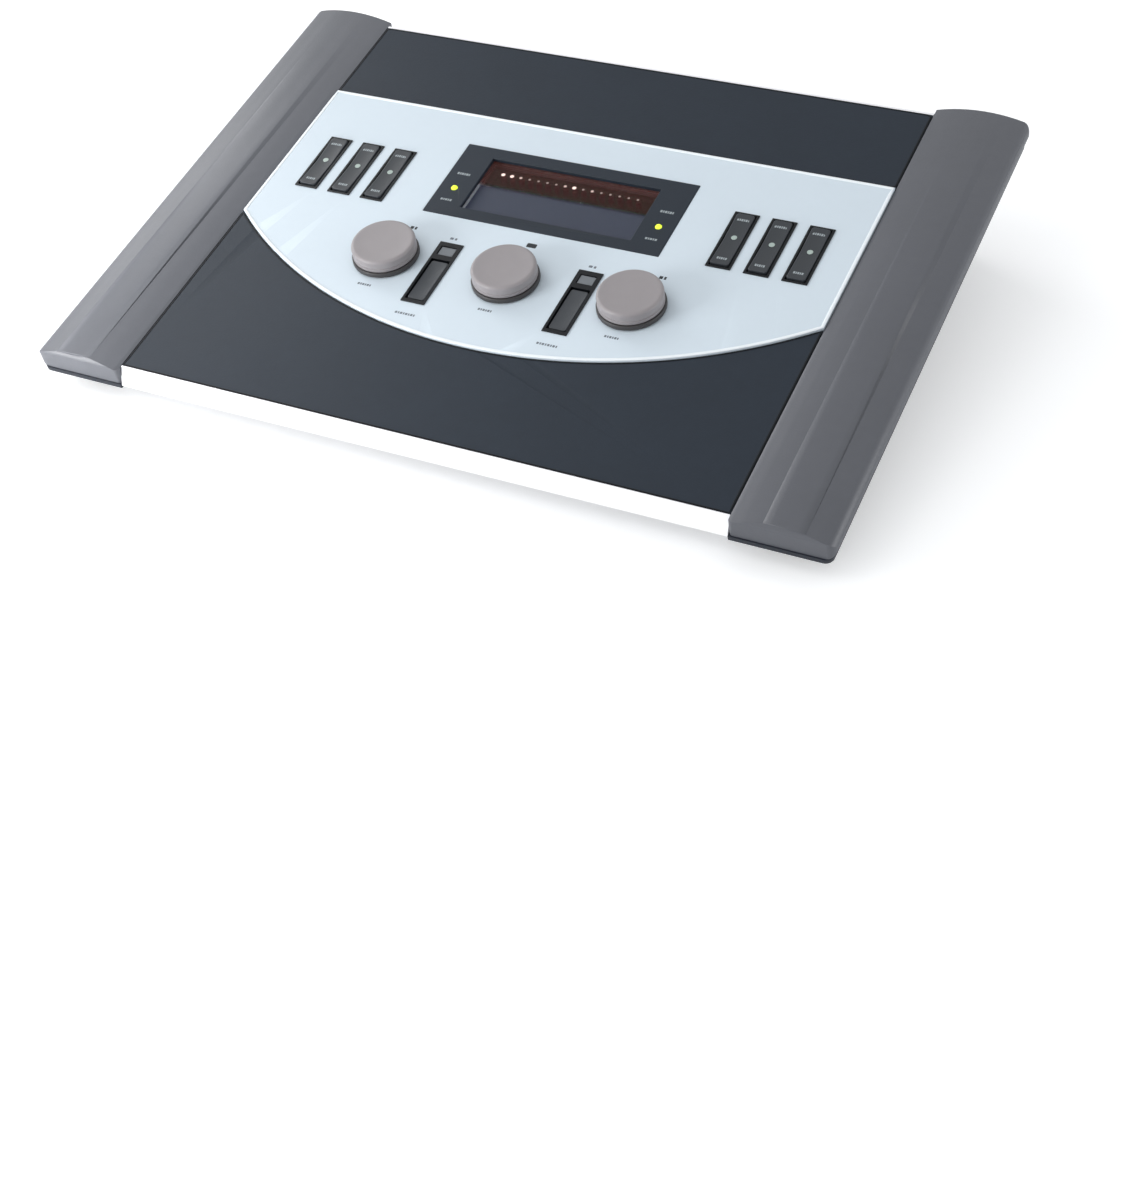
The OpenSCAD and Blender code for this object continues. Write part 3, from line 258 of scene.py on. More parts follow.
def key_form(middle, width, depth, corner, low, edge, top, count=72, steps=6, inner=9):
    """A key: straight sides, a rounded upper edge, and a face w = top(x, y) over rings drawn in to the
    middle. The edge goes over in the given steps, and the face has the given inner rings."""
    rings = [np.c_[outline(width, depth, corner, count), np.full(count, low)]]
    for angle in np.linspace(0, np.pi / 2, steps):
        inset = edge * (1 - math.cos(angle))
        ring = outline(width - 2 * inset, depth - 2 * inset, max(corner - inset, 0.1 * MM), count)
        rings.append(np.c_[ring, top(ring[:, 0], ring[:, 1]) - edge * (1 - math.sin(angle))])
    for share in np.linspace(1, 0, inner + 1)[1:-1]:
        rings.append(np.c_[ring * share, top(ring[:, 0] * share, ring[:, 1] * share)])
    points, faces = stack(rings)
    points[-1, 2] = top(np.zeros(1), np.zeros(1))[0]
    return on_slab(points + np.asarray(middle, float)), faces


def box_form(low, high):
    """A plain block between two corners in u, v, w: two square rings, closed at both ends."""
    (a, b, c), (d, e, f) = low, high
    ring = np.array([[a, b], [d, b], [d, e], [a, e]])
    points, faces = stack([np.c_[ring, np.full(4, c)], np.c_[ring, np.full(4, f)]])
    return on_slab(points), faces


def hub(low, high, pivot, width, plungers):
    """What a tipping key carries underneath: a turned hub with two stubs, and a plunger at each place."""
    cross = np.stack([UPHILL, SQUARE, ACROSS])
    stub, half, sole = (high[0] - low[0]) / 2 / MM, width / 2 / MM, low[2] / MM
    side = [(0, stub), (0.9, stub), (1, stub - 0.1), (1, half), (2, half)]
    forms = [turned([(r, -h) for r, h in side] + side[::-1], on_slab(pivot), cross, 48)]
    rod = [(0, sole), (1.2, sole), (1.5, sole + 0.3), (1.5, -0.5), (0, -0.5)]
    return forms + [turned(rod, on_slab([pivot[0], v, 0]), count=32) for v in plungers]


def swept(path, section):
    """A section carried along a flat closed path: each of its (out, up) points stands off along the path's
    normal, p = path + out n + up w."""
    path = np.asarray(path, float)
    along = np.roll(path, -1, 0) - np.roll(path, 1, 0)
    along /= np.linalg.norm(along, axis=1)[:, None]
    out = np.stack([along[:, 1], -along[:, 0]], 1)
    section = np.asarray(section, float)
    flat = path[:, None, :] + out[:, None, :] * section[None, :, :1]
    up = np.broadcast_to(section[None, :, 1:], flat.shape[:2] + (1,))
    points, faces = stack(np.concatenate([flat, up], -1), loop=True)
    return on_slab(points), faces


def bead(width, rise, sink, steps=9):
    """Section of a half-round bead: a half ellipse over a straight foot, as (out, up)."""
    angle = np.linspace(0, np.pi, steps)
    crown = np.stack([np.cos(angle) * width / 2, np.sin(angle) * rise], 1)
    return np.concatenate([crown, [[-width / 2, -sink], [width / 2, -sink]]])


def bow(radius, middle, reach, count=160):
    """The low stretch of a circle round (0, middle), from u = -reach to u = reach:
    v = middle - sqrt(radius^2 - u^2)."""
    swing = np.linspace(-1, 1, count) * math.asin(reach / radius)
    return np.stack([radius * np.sin(swing), middle - radius * np.cos(swing)], 1)


def closed_path(start, corners, count=24):
    """A closed path: the given stretch, then straight ones over the corners and back to its start."""
    stops = np.concatenate([start[-1:], corners, start[:1]])
    share = np.linspace(0, 1, count)[:, None]
    straights = [(a * (1 - share) + b * share)[1:] for a, b in zip(stops[:-1], stops[1:])]
    return np.concatenate([start, *straights])[:-1]


def piece(name, forms, material, body, stands_for=(), crease=35):
    """Joins forms into one mesh that rides on a body, with its faces turned outwards."""
    points = np.concatenate([form[0] for form in forms])
    starts = np.cumsum([0] + [len(form[0]) for form in forms])
    blocks = [block + start for (_, made), start in zip(forms, starts) for block in made]
    mesh = bpy.data.meshes.new(name)
    mesh.from_pydata(points.tolist(), [], sum((block.tolist() for block in blocks), []))
    shell = bmesh.new()
    shell.from_mesh(mesh)
    bmesh.ops.remove_doubles(shell, verts=shell.verts, dist=1e-7)
    bmesh.ops.dissolve_degenerate(shell, edges=shell.edges, dist=1e-8)
    bmesh.ops.recalc_face_normals(shell, faces=shell.faces)
    shell.to_mesh(mesh)
    shell.free()
    mesh.materials.append(material)
    mesh.shade_smooth()
    mesh.set_sharp_from_angle(angle=math.radians(crease))
    made = bpy.data.objects.new(name, mesh)
    bpy.context.scene.collection.objects.link(made)
    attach(made, body)
    if stands_for:
        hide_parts(*stands_for)
    return made


def number_form(text, height, axes, centre):
    """Plain digits as a thin raised form round a centre."""
    curve = bpy.data.curves.new("digits", "FONT")
    curve.body = text
    curve.size = height * 1.4
    curve.extrude = PRINT
    curve.align_x, curve.align_y = "CENTER", "CENTER"
    curve.resolution_u = 3
    holder = bpy.data.objects.new("digits", curve)
    bpy.context.scene.collection.objects.link(holder)
    bpy.context.view_layer.update()
    mesh = bpy.data.meshes.new_from_object(holder.evaluated_get(bpy.context.evaluated_depsgraph_get()))
    flat = mesh_points(mesh)
    mesh.calc_loop_triangles()
    corners = np.zeros(len(mesh.loop_triangles) * 3, np.int32)
    mesh.loop_triangles.foreach_get("vertices", corners)
    bpy.data.objects.remove(holder)
    bpy.data.curves.remove(curve)
    bpy.data.meshes.remove(mesh)
    return np.asarray(centre, float) + flat @ axes, [corners.reshape(-1, 3)]


def strokes(base, across, up, width, height, count, thick=0.04):
    """A row of upright strokes of two alternating widths, in mm, with its middle across and up from the base.
    The narrow strokes and the gaps are shares of a wide stroke."""
    narrow, gap = 0.62, 0.42
    across, up, width, height, thick = np.array([across, up, width, height, thick]) * MM
    u, v, w = base[0] + across, base[1] + up, base[2]
    share = np.where(np.arange(count) % 2 == 0, 1.0, narrow)
    unit = width / (share.sum() + gap * (count - 1))
    starts = u - width / 2 + np.r_[0, np.cumsum(share + gap)[:-1]] * unit
    return [
        box_form((start, v - height / 2, w), (start + length * unit, v + height / 2, w + thick))
        for start, length in zip(starts, share)
    ]


# ---- shader groups and finishes


def new_group(name, inputs):
    """A shader group with the named inputs, which puts out a colour, a roughness and a height. Returned
    with its two end nodes and the place on the object."""
    group = bpy.data.node_groups.new(name, "ShaderNodeTree")
    for label, default in inputs.items():
        kind = "NodeSocketColor" if isinstance(default, tuple) else "NodeSocketFloat"
        group.interface.new_socket(label, in_out="INPUT", socket_type=kind).default_value = default
    for label, kind in (("Colour", "Color"), ("Roughness", "Float"), ("Height", "Float")):
        group.interface.new_socket(label, in_out="OUTPUT", socket_type=f"NodeSocket{kind}")
    place = group.nodes.new("ShaderNodeTexCoord").outputs["Object"]
    return group, group.nodes.new("NodeGroupInput"), group.nodes.new("NodeGroupOutput"), place


def put_out(group, end, colour, roughness, height):
    """Joins a group's results to its outputs."""
    for label, result in (("Colour", colour), ("Roughness", roughness), ("Height", height)):
        group.links.new(result, end.inputs[label])
    return group


def new_node(tree, kind, inputs, **settings):
    """A node with its settings and its inputs, by label or number. A socket is linked, and a value is set."""
    node = tree.nodes.new(f"ShaderNode{kind}")
    for label, value in settings.items():
        setattr(node, label, value)
    for label, value in inputs.items():
        if isinstance(value, bpy.types.NodeSocket):
            tree.links.new(value, node.inputs[label])
        else:
            node.inputs[label].default_value = value
    return node


def math_node(tree, operation, first, second, clamp=False):
    """One Math node. An input is a socket or a number."""
    return new_node(tree, "Math", {0: first, 1: second}, operation=operation, use_clamp=clamp).outputs[0]


def swing_node(tree, value, reach):
    """A value from 0 to 1 as a swing about nothing, times its reach."""
    return math_node(tree, "MULTIPLY", math_node(tree, "SUBTRACT", value, 0.5), reach)


def blend_node(tree, first, share, second, rest):
    """Two values, each times its share, added up."""
    parts = [math_node(tree, "MULTIPLY", value, part) for value, part in ((first, share), (second, rest))]
    return math_node(tree, "ADD", *parts)


def ramp_node(tree, value, slope, start):
    """start + slope times the value."""
    return math_node(tree, "ADD", math_node(tree, "MULTIPLY", value, slope), start)


def noise_node(tree, vector, scale, detail=2.0, roughness=0.5):
    """Noise over a vector, from 0 to 1."""
    inputs = {"Vector": vector, "Scale": scale, "Detail": detail, "Roughness": roughness}
    return new_node(tree, "TexNoise", inputs).outputs["Fac"]


def mixed_colour(tree, factor, first, second):
    """Two colours mixed by a value from 0 to 1. A Mix node's colours are inputs 6 and 7 and output 2."""
    return new_node(tree, "Mix", {0: factor, 6: first, 7: second}, data_type="RGBA").outputs[2]


def scaled_colour(tree, colour, factor):
    """A colour times a value."""
    return new_node(tree, "VectorMath", {0: colour, "Scale": factor}, operation="SCALE").outputs[0]


def moulded_group():
    """Moulded plastic: fine pebbled grain, a wide faint mottle of tone, and handling smears in the gloss."""
    inputs = {"Colour": (0.5, 0.5, 0.5, 1), "Grain per metre": 1400, "Mottle": 0.06, "Roughness": 0.5,
              "Smear": 0.08}
    group, start, end, place = new_group("moulded_grain", inputs)
    fine = noise_node(group, place, start.outputs["Grain per metre"], 3.0, 0.6)
    cells = new_node(group, "TexVoronoi", {"Vector": place, "Scale": start.outputs["Grain per metre"]})
    wide = noise_node(group, place, 32.0, 4.0, 0.65)
    small = noise_node(group, place, 240, 2.0)
    swing = swing_node(group, blend_node(group, wide, 0.65, small, 0.35), start.outputs["Mottle"])
    colour = scaled_colour(group, start.outputs["Colour"], ramp_node(group, swing, 3.0, 1.0))
    gloss = swing_node(group, noise_node(group, place, 14.0, 5.0, 0.7), start.outputs["Smear"])
    base = math_node(group, "ADD", start.outputs["Roughness"], gloss)
    rough = math_node(group, "ADD", base, swing_node(group, fine, 0.08), clamp=True)
    return put_out(group, end, colour, rough, blend_node(group, fine, 0.6, cells.outputs["Distance"], 0.6))


def brushed_group():
    """Drawn or turned metal: noise stretched along x, with a faint change of tone."""
    inputs = {"Colour": (0.5, 0.5, 0.5, 1), "Lines per metre": 900, "Roughness": 0.3, "Tone": 0.15}
    group, start, end, place = new_group("drawn_metal", inputs)
    stretch = new_node(group, "Mapping", {"Vector": place, "Scale": (0.05, 1.0, 1.0)})
    lines = noise_node(group, stretch.outputs[0], start.outputs["Lines per metre"], 4.0, 0.7)
    swing = swing_node(group, lines, start.outputs["Tone"])
    colour = scaled_colour(group, start.outputs["Colour"], ramp_node(group, swing, 2.0, 1.0))
    rough = math_node(group, "ADD", start.outputs["Roughness"], swing, clamp=True)
    return put_out(group, end, colour, rough, lines)


def circuit_group():
    """Printed board: copper traces under green lacquer, from a brick pattern's joints, with round pads."""
    inputs = {"Colour": (0.02, 0.12, 0.05, 1), "Trace": (0.04, 0.22, 0.1, 1), "Traces per metre": 160}
    group, start, end, place = new_group("board_traces", inputs)
    sizes = {"Vector": place, "Scale": start.outputs["Traces per metre"], "Mortar Size": 0.06}
    bricks = new_node(group, "TexBrick", sizes)
    pads = new_node(group, "TexVoronoi", {"Vector": place, "Scale": 220})
    dot = math_node(group, "LESS_THAN", pads.outputs["Distance"], 0.16)
    line = math_node(group, "MAXIMUM", bricks.outputs["Fac"], dot)
    colour = mixed_colour(group, line, start.outputs["Colour"], start.outputs["Trace"])
    return put_out(group, end, colour, ramp_node(group, line, -0.1, 0.42), line)


def cell_group():
    """Unlit display: rows of small cells, a little darker than the ground between them."""
    inputs = {"Colour": (0.1, 0.1, 0.15, 1), "Trace": (0.08, 0.08, 0.12, 1), "Cells per metre": 120}
    group, start, end, place = new_group("display_cells", inputs)
    sizes = {"Vector": place, "Scale": start.outputs["Cells per metre"], "Brick Width": 0.36,
             "Row Height": 0.6, "Mortar Size": 0.05, "Mortar Smooth": 0.4}
    joint = new_node(group, "TexBrick", sizes, offset=0.0, squash=1.0).outputs["Fac"]
    colour = mixed_colour(group, joint, start.outputs["Trace"], start.outputs["Colour"])
    return put_out(group, end, colour, ramp_node(group, joint, 0.1, 0.3), joint)


GROUPS = {}
MAKERS = {"moulded": moulded_group, "brushed": brushed_group, "circuit": circuit_group, "cells": cell_group}


def shared_group(name):
    """A shader group, built the first time that a finish asks for it."""
    if name not in GROUPS:
        GROUPS[name] = MAKERS[name]()
    return GROUPS[name]


def shader_of(material):
    """The material's own shader node."""
    return next(node for node in material.node_tree.nodes if node.type == "BSDF_PRINCIPLED")


def finish(name, group, colour, values, bump=0.2, relief=0.1 * MM, even=False, **plain):
    """A material: a shared group feeds roughness, bump and, unless it is even all over, the colour. A colour
    is a code or three linear numbers. Plain values go to the shader's own sockets."""
    colour = shade(colour) if isinstance(colour, str) else colour
    material = bpy.data.materials.get(name) or bpy.data.materials.new(name)
    material.use_nodes = True
    tree = material.node_tree
    shader = shader_of(material)
    inputs = {label: (*value, 1) if isinstance(value, tuple) else value for label, value in values.items()}
    pattern = new_node(tree, "Group", inputs, node_tree=shared_group(group))
    if even:
        shader.inputs["Base Color"].default_value = (*colour, 1)
    else:
        pattern.inputs["Colour"].default_value = (*colour, 1)
        tree.links.new(pattern.outputs["Colour"], shader.inputs["Base Color"])
    tree.links.new(pattern.outputs["Roughness"], shader.inputs["Roughness"])
    raised = {"Strength": bump, "Distance": relief, "Height": pattern.outputs["Height"]}
    tree.links.new(new_node(tree, "Bump", raised).outputs[0], shader.inputs["Normal"])
    for label, value in plain.items():
        shader.inputs[label.replace("_", " ")].default_value = value
    return material


def plastic(name, colour, roughness=0.5, grain=1400, mottle=0.05, bump=0.25, **plain):
    """Moulded plastic in one colour."""
    values = {"Grain per metre": grain, "Mottle": mottle, "Roughness": roughness}
    return finish(name, "moulded", colour, values, bump, **plain)


def ink(name, colour, glow=0.0):
    """Printed or lit marks: an even colour that may give off light of its own."""
    material = plastic(name, colour, 0.55, mottle=0.0, bump=0.02, even=True, Emission_Strength=glow)
    shader_of(material).inputs["Emission Color"].default_value = (*colour, 1)
    return material


def pane(name, colour, roughness, glow=(0.0, 0.0, 0.0)):
    """Clear or tinted glass with faint wipe marks. Its low index keeps the room's reflection faint."""
    values = {"Mottle": 0.0, "Roughness": roughness, "Smear": 0.05}
    plain = {"Transmission_Weight": 1.0, "IOR": 1.22, "Emission_Strength": 1.0}
    material = finish(name, "moulded", colour, values, 0.02, even=True, **plain)
    # A glow colour, where one is given, is painted light: the pane gives off light of its own.
    shader_of(material).inputs["Emission Color"].default_value = (*glow, 1)
    return material


def metal(name, colour, roughness=0.3, lines=900, **plain):
    """Bare metal in one colour."""
    values = {"Lines per metre": lines, "Roughness": roughness}
    return finish(name, "brushed", colour, values, 0.12, 0.05 * MM, Metallic=1.0, **plain)


def dress(nodes, material, edge=None, segments=2):
    """Gives CAD nodes a finish and, where an edge in mm is given, a small round on their sharp edges."""
    for name in nodes:
        node = frame["nodes"][name]
        node.data.materials.clear()
        node.data.materials.append(material)
        if edge:
            weld = node.modifiers.new("weld", "WELD")
            weld.merge_threshold = HAIR
            soft = node.modifiers.new("soft_edge", "BEVEL")
            soft.width, soft.segments = edge * MM, segments
            soft.limit_method, soft.angle_limit = "ANGLE", SHARP
            soft.use_clamp_overlap, soft.harden_normals = True, True


# ---- operators


class AUDIOMETER_OT_studio(bpy.types.Operator):
    """Lays the floor, hangs the lamps and sets the camera"""

    bl_idname = "audiometer.studio"
    bl_label = "Studio"

    # The camera, as solved from the photograph: its place, its view and its upward direction in u, v, w
    EYE = (0.35006, -0.43642, 0.54637)
    VIEW = (-0.35459, 0.53296, -0.76826)
    UPWARD = (-0.24429, 0.7403, 0.62632)
    SENSOR = 36
    FLOOR_RINGS = (0.4, 1.0, 2.5, 8.0)
    FLOOR_LEVEL = -0.1 * MM
    TARGET = (0, 0.12, 0)  # what the lamps face, in u, v, w
    # Name, place and side of each square lamp
    LAMPS = (
        ("key", (-0.75, -0.6, 1.05), 0.9),
        ("front", (-0.36, -0.42, 0.1), 0.25),
        ("sheen", (-0.85, 0.4, 0.6), 0.5),
        ("rim", (0.8, 0.1, 0.16), 0.35),
    )

    def execute(self, context):
        studio = context.scene.audiometer_studio
        turn = np.arange(ROUND) * 2 * np.pi / ROUND
        level = np.full(ROUND, self.FLOOR_LEVEL)
        rings = [np.c_[r * np.cos(turn), r * np.sin(turn), level] for r in self.FLOOR_RINGS]
        points, (quads, fan, _) = stack(rings)
        mesh = bpy.data.meshes.new("floor")
        mesh.from_pydata(points[:-1].tolist(), [], quads.tolist() + fan.tolist())
        mesh.materials.append(self.floor_finish(studio))
        floor = bpy.data.objects.new("floor", mesh)
        context.scene.collection.objects.link(floor)

        world = bpy.data.worlds.new("studio")
        context.scene.world = world
        world.use_nodes = True
        tree = world.node_tree
        backdrop = tree.nodes["Background"]
        backdrop.inputs["Color"].default_value = (0.97, 0.985, 1.0, 1)
        rays = tree.nodes.new("ShaderNodeLightPath")
        share = math_node(tree, "MULTIPLY", rays.outputs["Is Camera Ray"], 1.0 - studio.sky)
        tree.links.new(math_node(tree, "ADD", share, studio.sky), backdrop.inputs["Strength"])

        target = Vector(on_slab(self.TARGET))
        for name, place, size in self.LAMPS:
            self.softbox(context, name, place, target, size, getattr(studio, name))

        lens = bpy.data.cameras.new("view")
        lens.lens, lens.sensor_width = studio.lens, self.SENSOR
        lens.clip_start, lens.clip_end = 0.01, 50
        camera = bpy.data.objects.new("view", lens)
        context.scene.collection.objects.link(camera)
        place = Vector(on_slab(self.EYE))
        forward = Vector(np.array(self.VIEW) @ AXES).normalized()
        right = forward.cross(Vector(np.array(self.UPWARD) @ AXES)).normalized()
        up = right.cross(forward)
        camera.matrix_world = Matrix.Translation(place) @ Matrix((right, up, -forward)).transposed().to_4x4()
        context.scene.camera = camera
        context.scene.view_settings.view_transform = "Standard"
        return {"FINISHED"}

    @staticmethod
    def floor_finish(studio):
        """A pale floor that keeps the object's shadow and is lifted towards white for the camera."""
        material = plastic("floor_paper", studio.floor, 0.8, 600, 0, 0.02, even=True, Specular_IOR_Level=0.1)
        tree = material.node_tree
        shader = shader_of(material)
        shader.inputs["Emission Color"].default_value = (1, 1, 1, 1)
        rays = tree.nodes.new("ShaderNodeLightPath")
        lift = math_node(tree, "MULTIPLY", rays.outputs["Is Camera Ray"], studio.floor_lift)
        tree.links.new(lift, shader.inputs["Emission Strength"])
        return material

    @staticmethod
    def softbox(context, name, place, target, size, power):
        """A square lamp that faces the target."""
        lamp = bpy.data.lights.new(name, "AREA")
        lamp.shape, lamp.size, lamp.energy = "SQUARE", size, power
        holder = bpy.data.objects.new(name, lamp)
        context.scene.collection.objects.link(holder)
        facing = (target - Vector(place)).to_track_quat("-Z", "Y").to_matrix().to_4x4()
        holder.matrix_world = Matrix.Translation(place) @ facing
        holder.visible_camera = False


class AUDIOMETER_OT_case(bpy.types.Operator):
    """Finishes the slab, its panels, the end caps and the lower casing"""

    bl_idname = "audiometer.case"
    bl_label = "Case"

    def execute(self, context):
        case = context.scene.audiometer_case
        # Lit and shaded copies of one cap plastic: the left cap's lighter grey is painted light, the right cap's
        # darker grey painted shade.
        for side, colour in (("left", case.left_cap), ("right", case.right_cap)):
            grey = plastic(f"{side}_cap_grey", colour, 0.42, 900, 0.07, 0.3, Specular_IOR_Level=0.45)
            dress([f"{side}_end_cap"], grey, 0.6, 3)
        dress(["left_cap_base", "right_cap_base"], plastic("cap_base_dark", case.cap_base, 0.45), 0.25)
        slate = plastic("slate_panel", case.panel, 0.48, 1100, 0.12, 0.3, Specular_IOR_Level=0.3)
        dress(["front_panel", "back_panel"], slate, 0.2)
        pale = plastic("pale_fascia", case.fascia, 0.5, 1500, 0.02, 0.15, Specular_IOR_Level=0.3)
        dress(["control_fascia"], pale, 0.15)
        dress(["deck_frame"], plastic("deck_white", case.deck, 0.35, 1500, 0.01, 0.1))
        dress(["base_tray"], plastic("tray_dark", case.tray, 0.55, 700, 0.08, 0.4), 0.4)
        dress(["rear_panel"], plastic("rear_paint", case.rear, 0.45, 1600, 0.03, 0.2), 0.2)
        return {"FINISHED"}


class AUDIOMETER_OT_edges(bpy.types.Operator):
    """Lays a raised rim along the fascia's outline, whose whiter colour is a painted highlight, and dark beads
    along the panels' edges, which are painted shadow lines
    """

    bl_idname = "audiometer.edges"
    bl_label = "Rim and borders"

    SINK = 0.1 * MM  # how far the beads go down into what carries them
    BORDER_RISE = 0.12 * MM
    BORDER_GAP = 0.4 * MM  # from the fascia's curve to the front border
    PANEL_CORNER = 0.2 * MM

    def execute(self, context):
        case = context.scene.audiometer_case
        points = slab_points("control_fascia")
        low, high = points.min(0), points.max(0)
        side = points[points[:, 0] > high[0] - self.SINK][:, 1].min()
        sagitta = side - low[1]
        radius = (high[0] ** 2 + sagitta**2) / (2 * sagitta)
        middle = low[1] + radius

        half = case.rim_width / 2
        edge, back = high[0] - half, high[1] - half
        path = closed_path(bow(radius - half, middle, edge), [(edge, back), (-edge, back)])
        rim = swept(path, bead(case.rim_width, case.rim_rise, self.SINK) + np.array([0, high[2]]))
        # A whiter bead than the fascia: painted highlight along the fascia's edge.
        white = plastic("rim_white", "f1f7fb", 0.4, mottle=0.0, bump=0.05, even=True)
        piece("fascia_rim", [rim], white, "case", crease=60)

        # Dark beads along the panels' edges and just outside the fascia's curve: painted shadow lines of the gaps
        # there.
        half = case.border_width / 2
        section = bead(case.border_width, self.BORDER_RISE, self.SINK)
        low, high = slab_box("front_panel")
        edge, front = high[0] - half, low[1] + half
        curve = bow(radius + self.BORDER_GAP + half, middle, edge)
        path = closed_path(curve, [(edge, front), (-edge, front)])
        borders = [swept(path, section + np.array([0, high[2]]))]
        low, high = slab_box("back_panel")
        size = high - low - 2 * half
        path = outline(size[0], size[1], self.PANEL_CORNER, 240) + (low[:2] + high[:2]) / 2
        borders.append(swept(path, section + np.array([0, high[2]])))
        painted_shadow_line = plastic("panel_border", case.border, 0.5, 1500, 0.03, 0.1, Specular_IOR_Level=0.2)
        piece("panel_borders", borders, painted_shadow_line, "case", crease=60)
        return {"FINISHED"}


class AUDIOMETER_OT_knobs(bpy.types.Operator):
    """Turns the three knobs with a soft rim, two tiers and a dished face"""

    bl_idname = "audiometer.knobs"
    bl_label = "Knobs"

    def execute(self, context):
        controls = context.scene.audiometer_controls
        face = plastic("knob_taupe", controls.knob, 0.45, 1500, 0.05, 0.2)
        # Darker foot grey: partly the knob's own darker ring, partly painted shade on the knob's sides.
        foot_finish_painted_shade = plastic("knob_foot", controls.knob_side, 0.45, 1500, 0.04, 0.2)
        steel = metal("shaft_steel", "c2c5ca", 0.3)
        for side in ("left", "center", "right"):
            low, high = slab_box(f"{side}_knob")
            centre = on_slab([(low[0] + high[0]) / 2, (low[1] + high[1]) / 2, 0])
            sizes = np.array([low[2], high[2], (high[0] - low[0]) / 2]) / MM
            self.knob(side, centre, *sizes, face, foot_finish_painted_shade)
            dress([f"{side}_encoder_shaft"], steel)
        dress(["encoder_bodies"], metal("encoder_zinc", "9a9fa6", 0.45))
        dress(["encoder_nuts"], metal("nut_steel", "b4b8be", 0.3), 0.15)
        return {"FINISHED"}

    @staticmethod
    def knob(side, centre, low, top, foot, face, foot_finish_painted_shade):
        """Both profiles are in mm. The lower one goes round the room over the nut and the foot. The upper one
        goes up over the waist and the groove to the rim and the dished face."""
        body, rim, toe, shoulder, hub_radius = foot - 0.7, 1.3, 0.3, 0.5, 3.1
        inside, waist, neck = body - 2, body - 0.35, body - 0.3
        step, roof = low + 2.2, top - 2.1
        ledge, seat, groove = step + 0.25, step + 0.26, step + 1.9
        lower = [
            (0, step - 0.2), (hub_radius, step - 0.2), (hub_radius, roof), (inside, roof), (inside, low),
            (foot - toe, low), *arc((foot - toe, low + toe), toe, -90, 0, 4)[1:],
            *arc((foot - shoulder, step - shoulder), shoulder, 0, 90, 5),
            (waist, step), (waist, ledge), (0, ledge),
        ]
        upper = [
            (0, seat), (body - 0.15, seat), (body, step + 0.45), (body, groove - 0.2), (neck, groove),
            (neck, groove + 0.25), (body, groove + 0.45), *arc((body - rim, top - rim), rim, 0, 90, 9),
            (body - rim - 0.6, top), (body - rim - 1.6, top - 0.12), (body / 2, top - 0.25), (0, top - 0.3),
        ]
        ride, slot = f"{side}_knob_unit", "knob_taupe"
        piece(f"{side}_knob_foot", [turned(lower, centre)], foot_finish_painted_shade, ride, crease=30)
        piece(f"{side}_knob_cap", [turned(upper, centre)], face, ride, [f"{side}_knob"], crease=50)


class AUDIOMETER_OT_rockers(bpy.types.Operator):
    """Makes the six dished rocker keys with their pivots and plungers"""

    bl_idname = "audiometer.rockers"
    bl_label = "Rockers"

    # Rows of marks on a key: up from its pivot, width in mm and number of strokes
    MARKS = ((12.6, 5.4, 6), (-12.6, 4.4, 5))
    MARK_SINK = 0.36 * MM

    def execute(self, context):
        controls = context.scene.audiometer_controls
        key = plastic("key_dark", controls.key, 0.42, 1600, 0.05, 0.2)
        mark = ink("pale_print", controls.pale_mark)
        for name in ROCKERS:
            node = f"{name}_rocker"
            low, high = slab_box(node)
            pivot = joint_place(f"{node}_tip")
            piece(f"{name}_key", self.key(low, high, pivot), key, f"{node}_key", [node])
            base = (*pivot[:2], high[2] - self.MARK_SINK)
            marks = [strokes(base, 0, up, width, 1.3, count, 0.08) for up, width, count in self.MARKS]
            piece(f"{name}_key_marks", sum(marks, []), mark, f"{node}_key")
        frames = plastic("frame_black", controls.frame, 0.38, 1600, 0.03, 0.12, Specular_IOR_Level=0.3)
        dress(["rocker_bezels", "slot_bezels"], frames, 0.15)
        pipes = plastic("pipe_pale", "a9b8b2", 0.25, mottle=0.02, bump=0.03)
        dress(["rocker_light_pipes"], pipes, 0.2)
        return {"FINISHED"}

    @staticmethod
    def key(low, high, pivot):
        """Key, its two plungers and its pivot hub. Face height at (x, y), with s = |y| over half the depth:
        top - rise (1 - s^1.15), less a cross dish (1 - (2x / width)^2) that fades out at the ends."""
        width, depth = high[0] - low[0] - 2.5 * MM, high[1] - low[1]
        rise, dish, foot, reach = 0.8 * MM, 0.2 * MM, 3.4 * MM, depth / 2

        def face(x, y):
            share = np.abs(y) / reach
            slope = high[2] - rise * (1 - np.clip(share, 0, 1) ** 1.15)
            return slope - dish * (1 - np.clip(2 * x / width, -1, 1) ** 2) * np.clip(1 - share**6, 0, 1)

        form = key_form((*pivot[:2], 0), width, depth, 0.7 * MM, -0.6 * MM, 0.35 * MM, face)
        return [form, *hub(low, high, pivot, width, [pivot[1] - reach + foot, pivot[1] + reach - foot])]


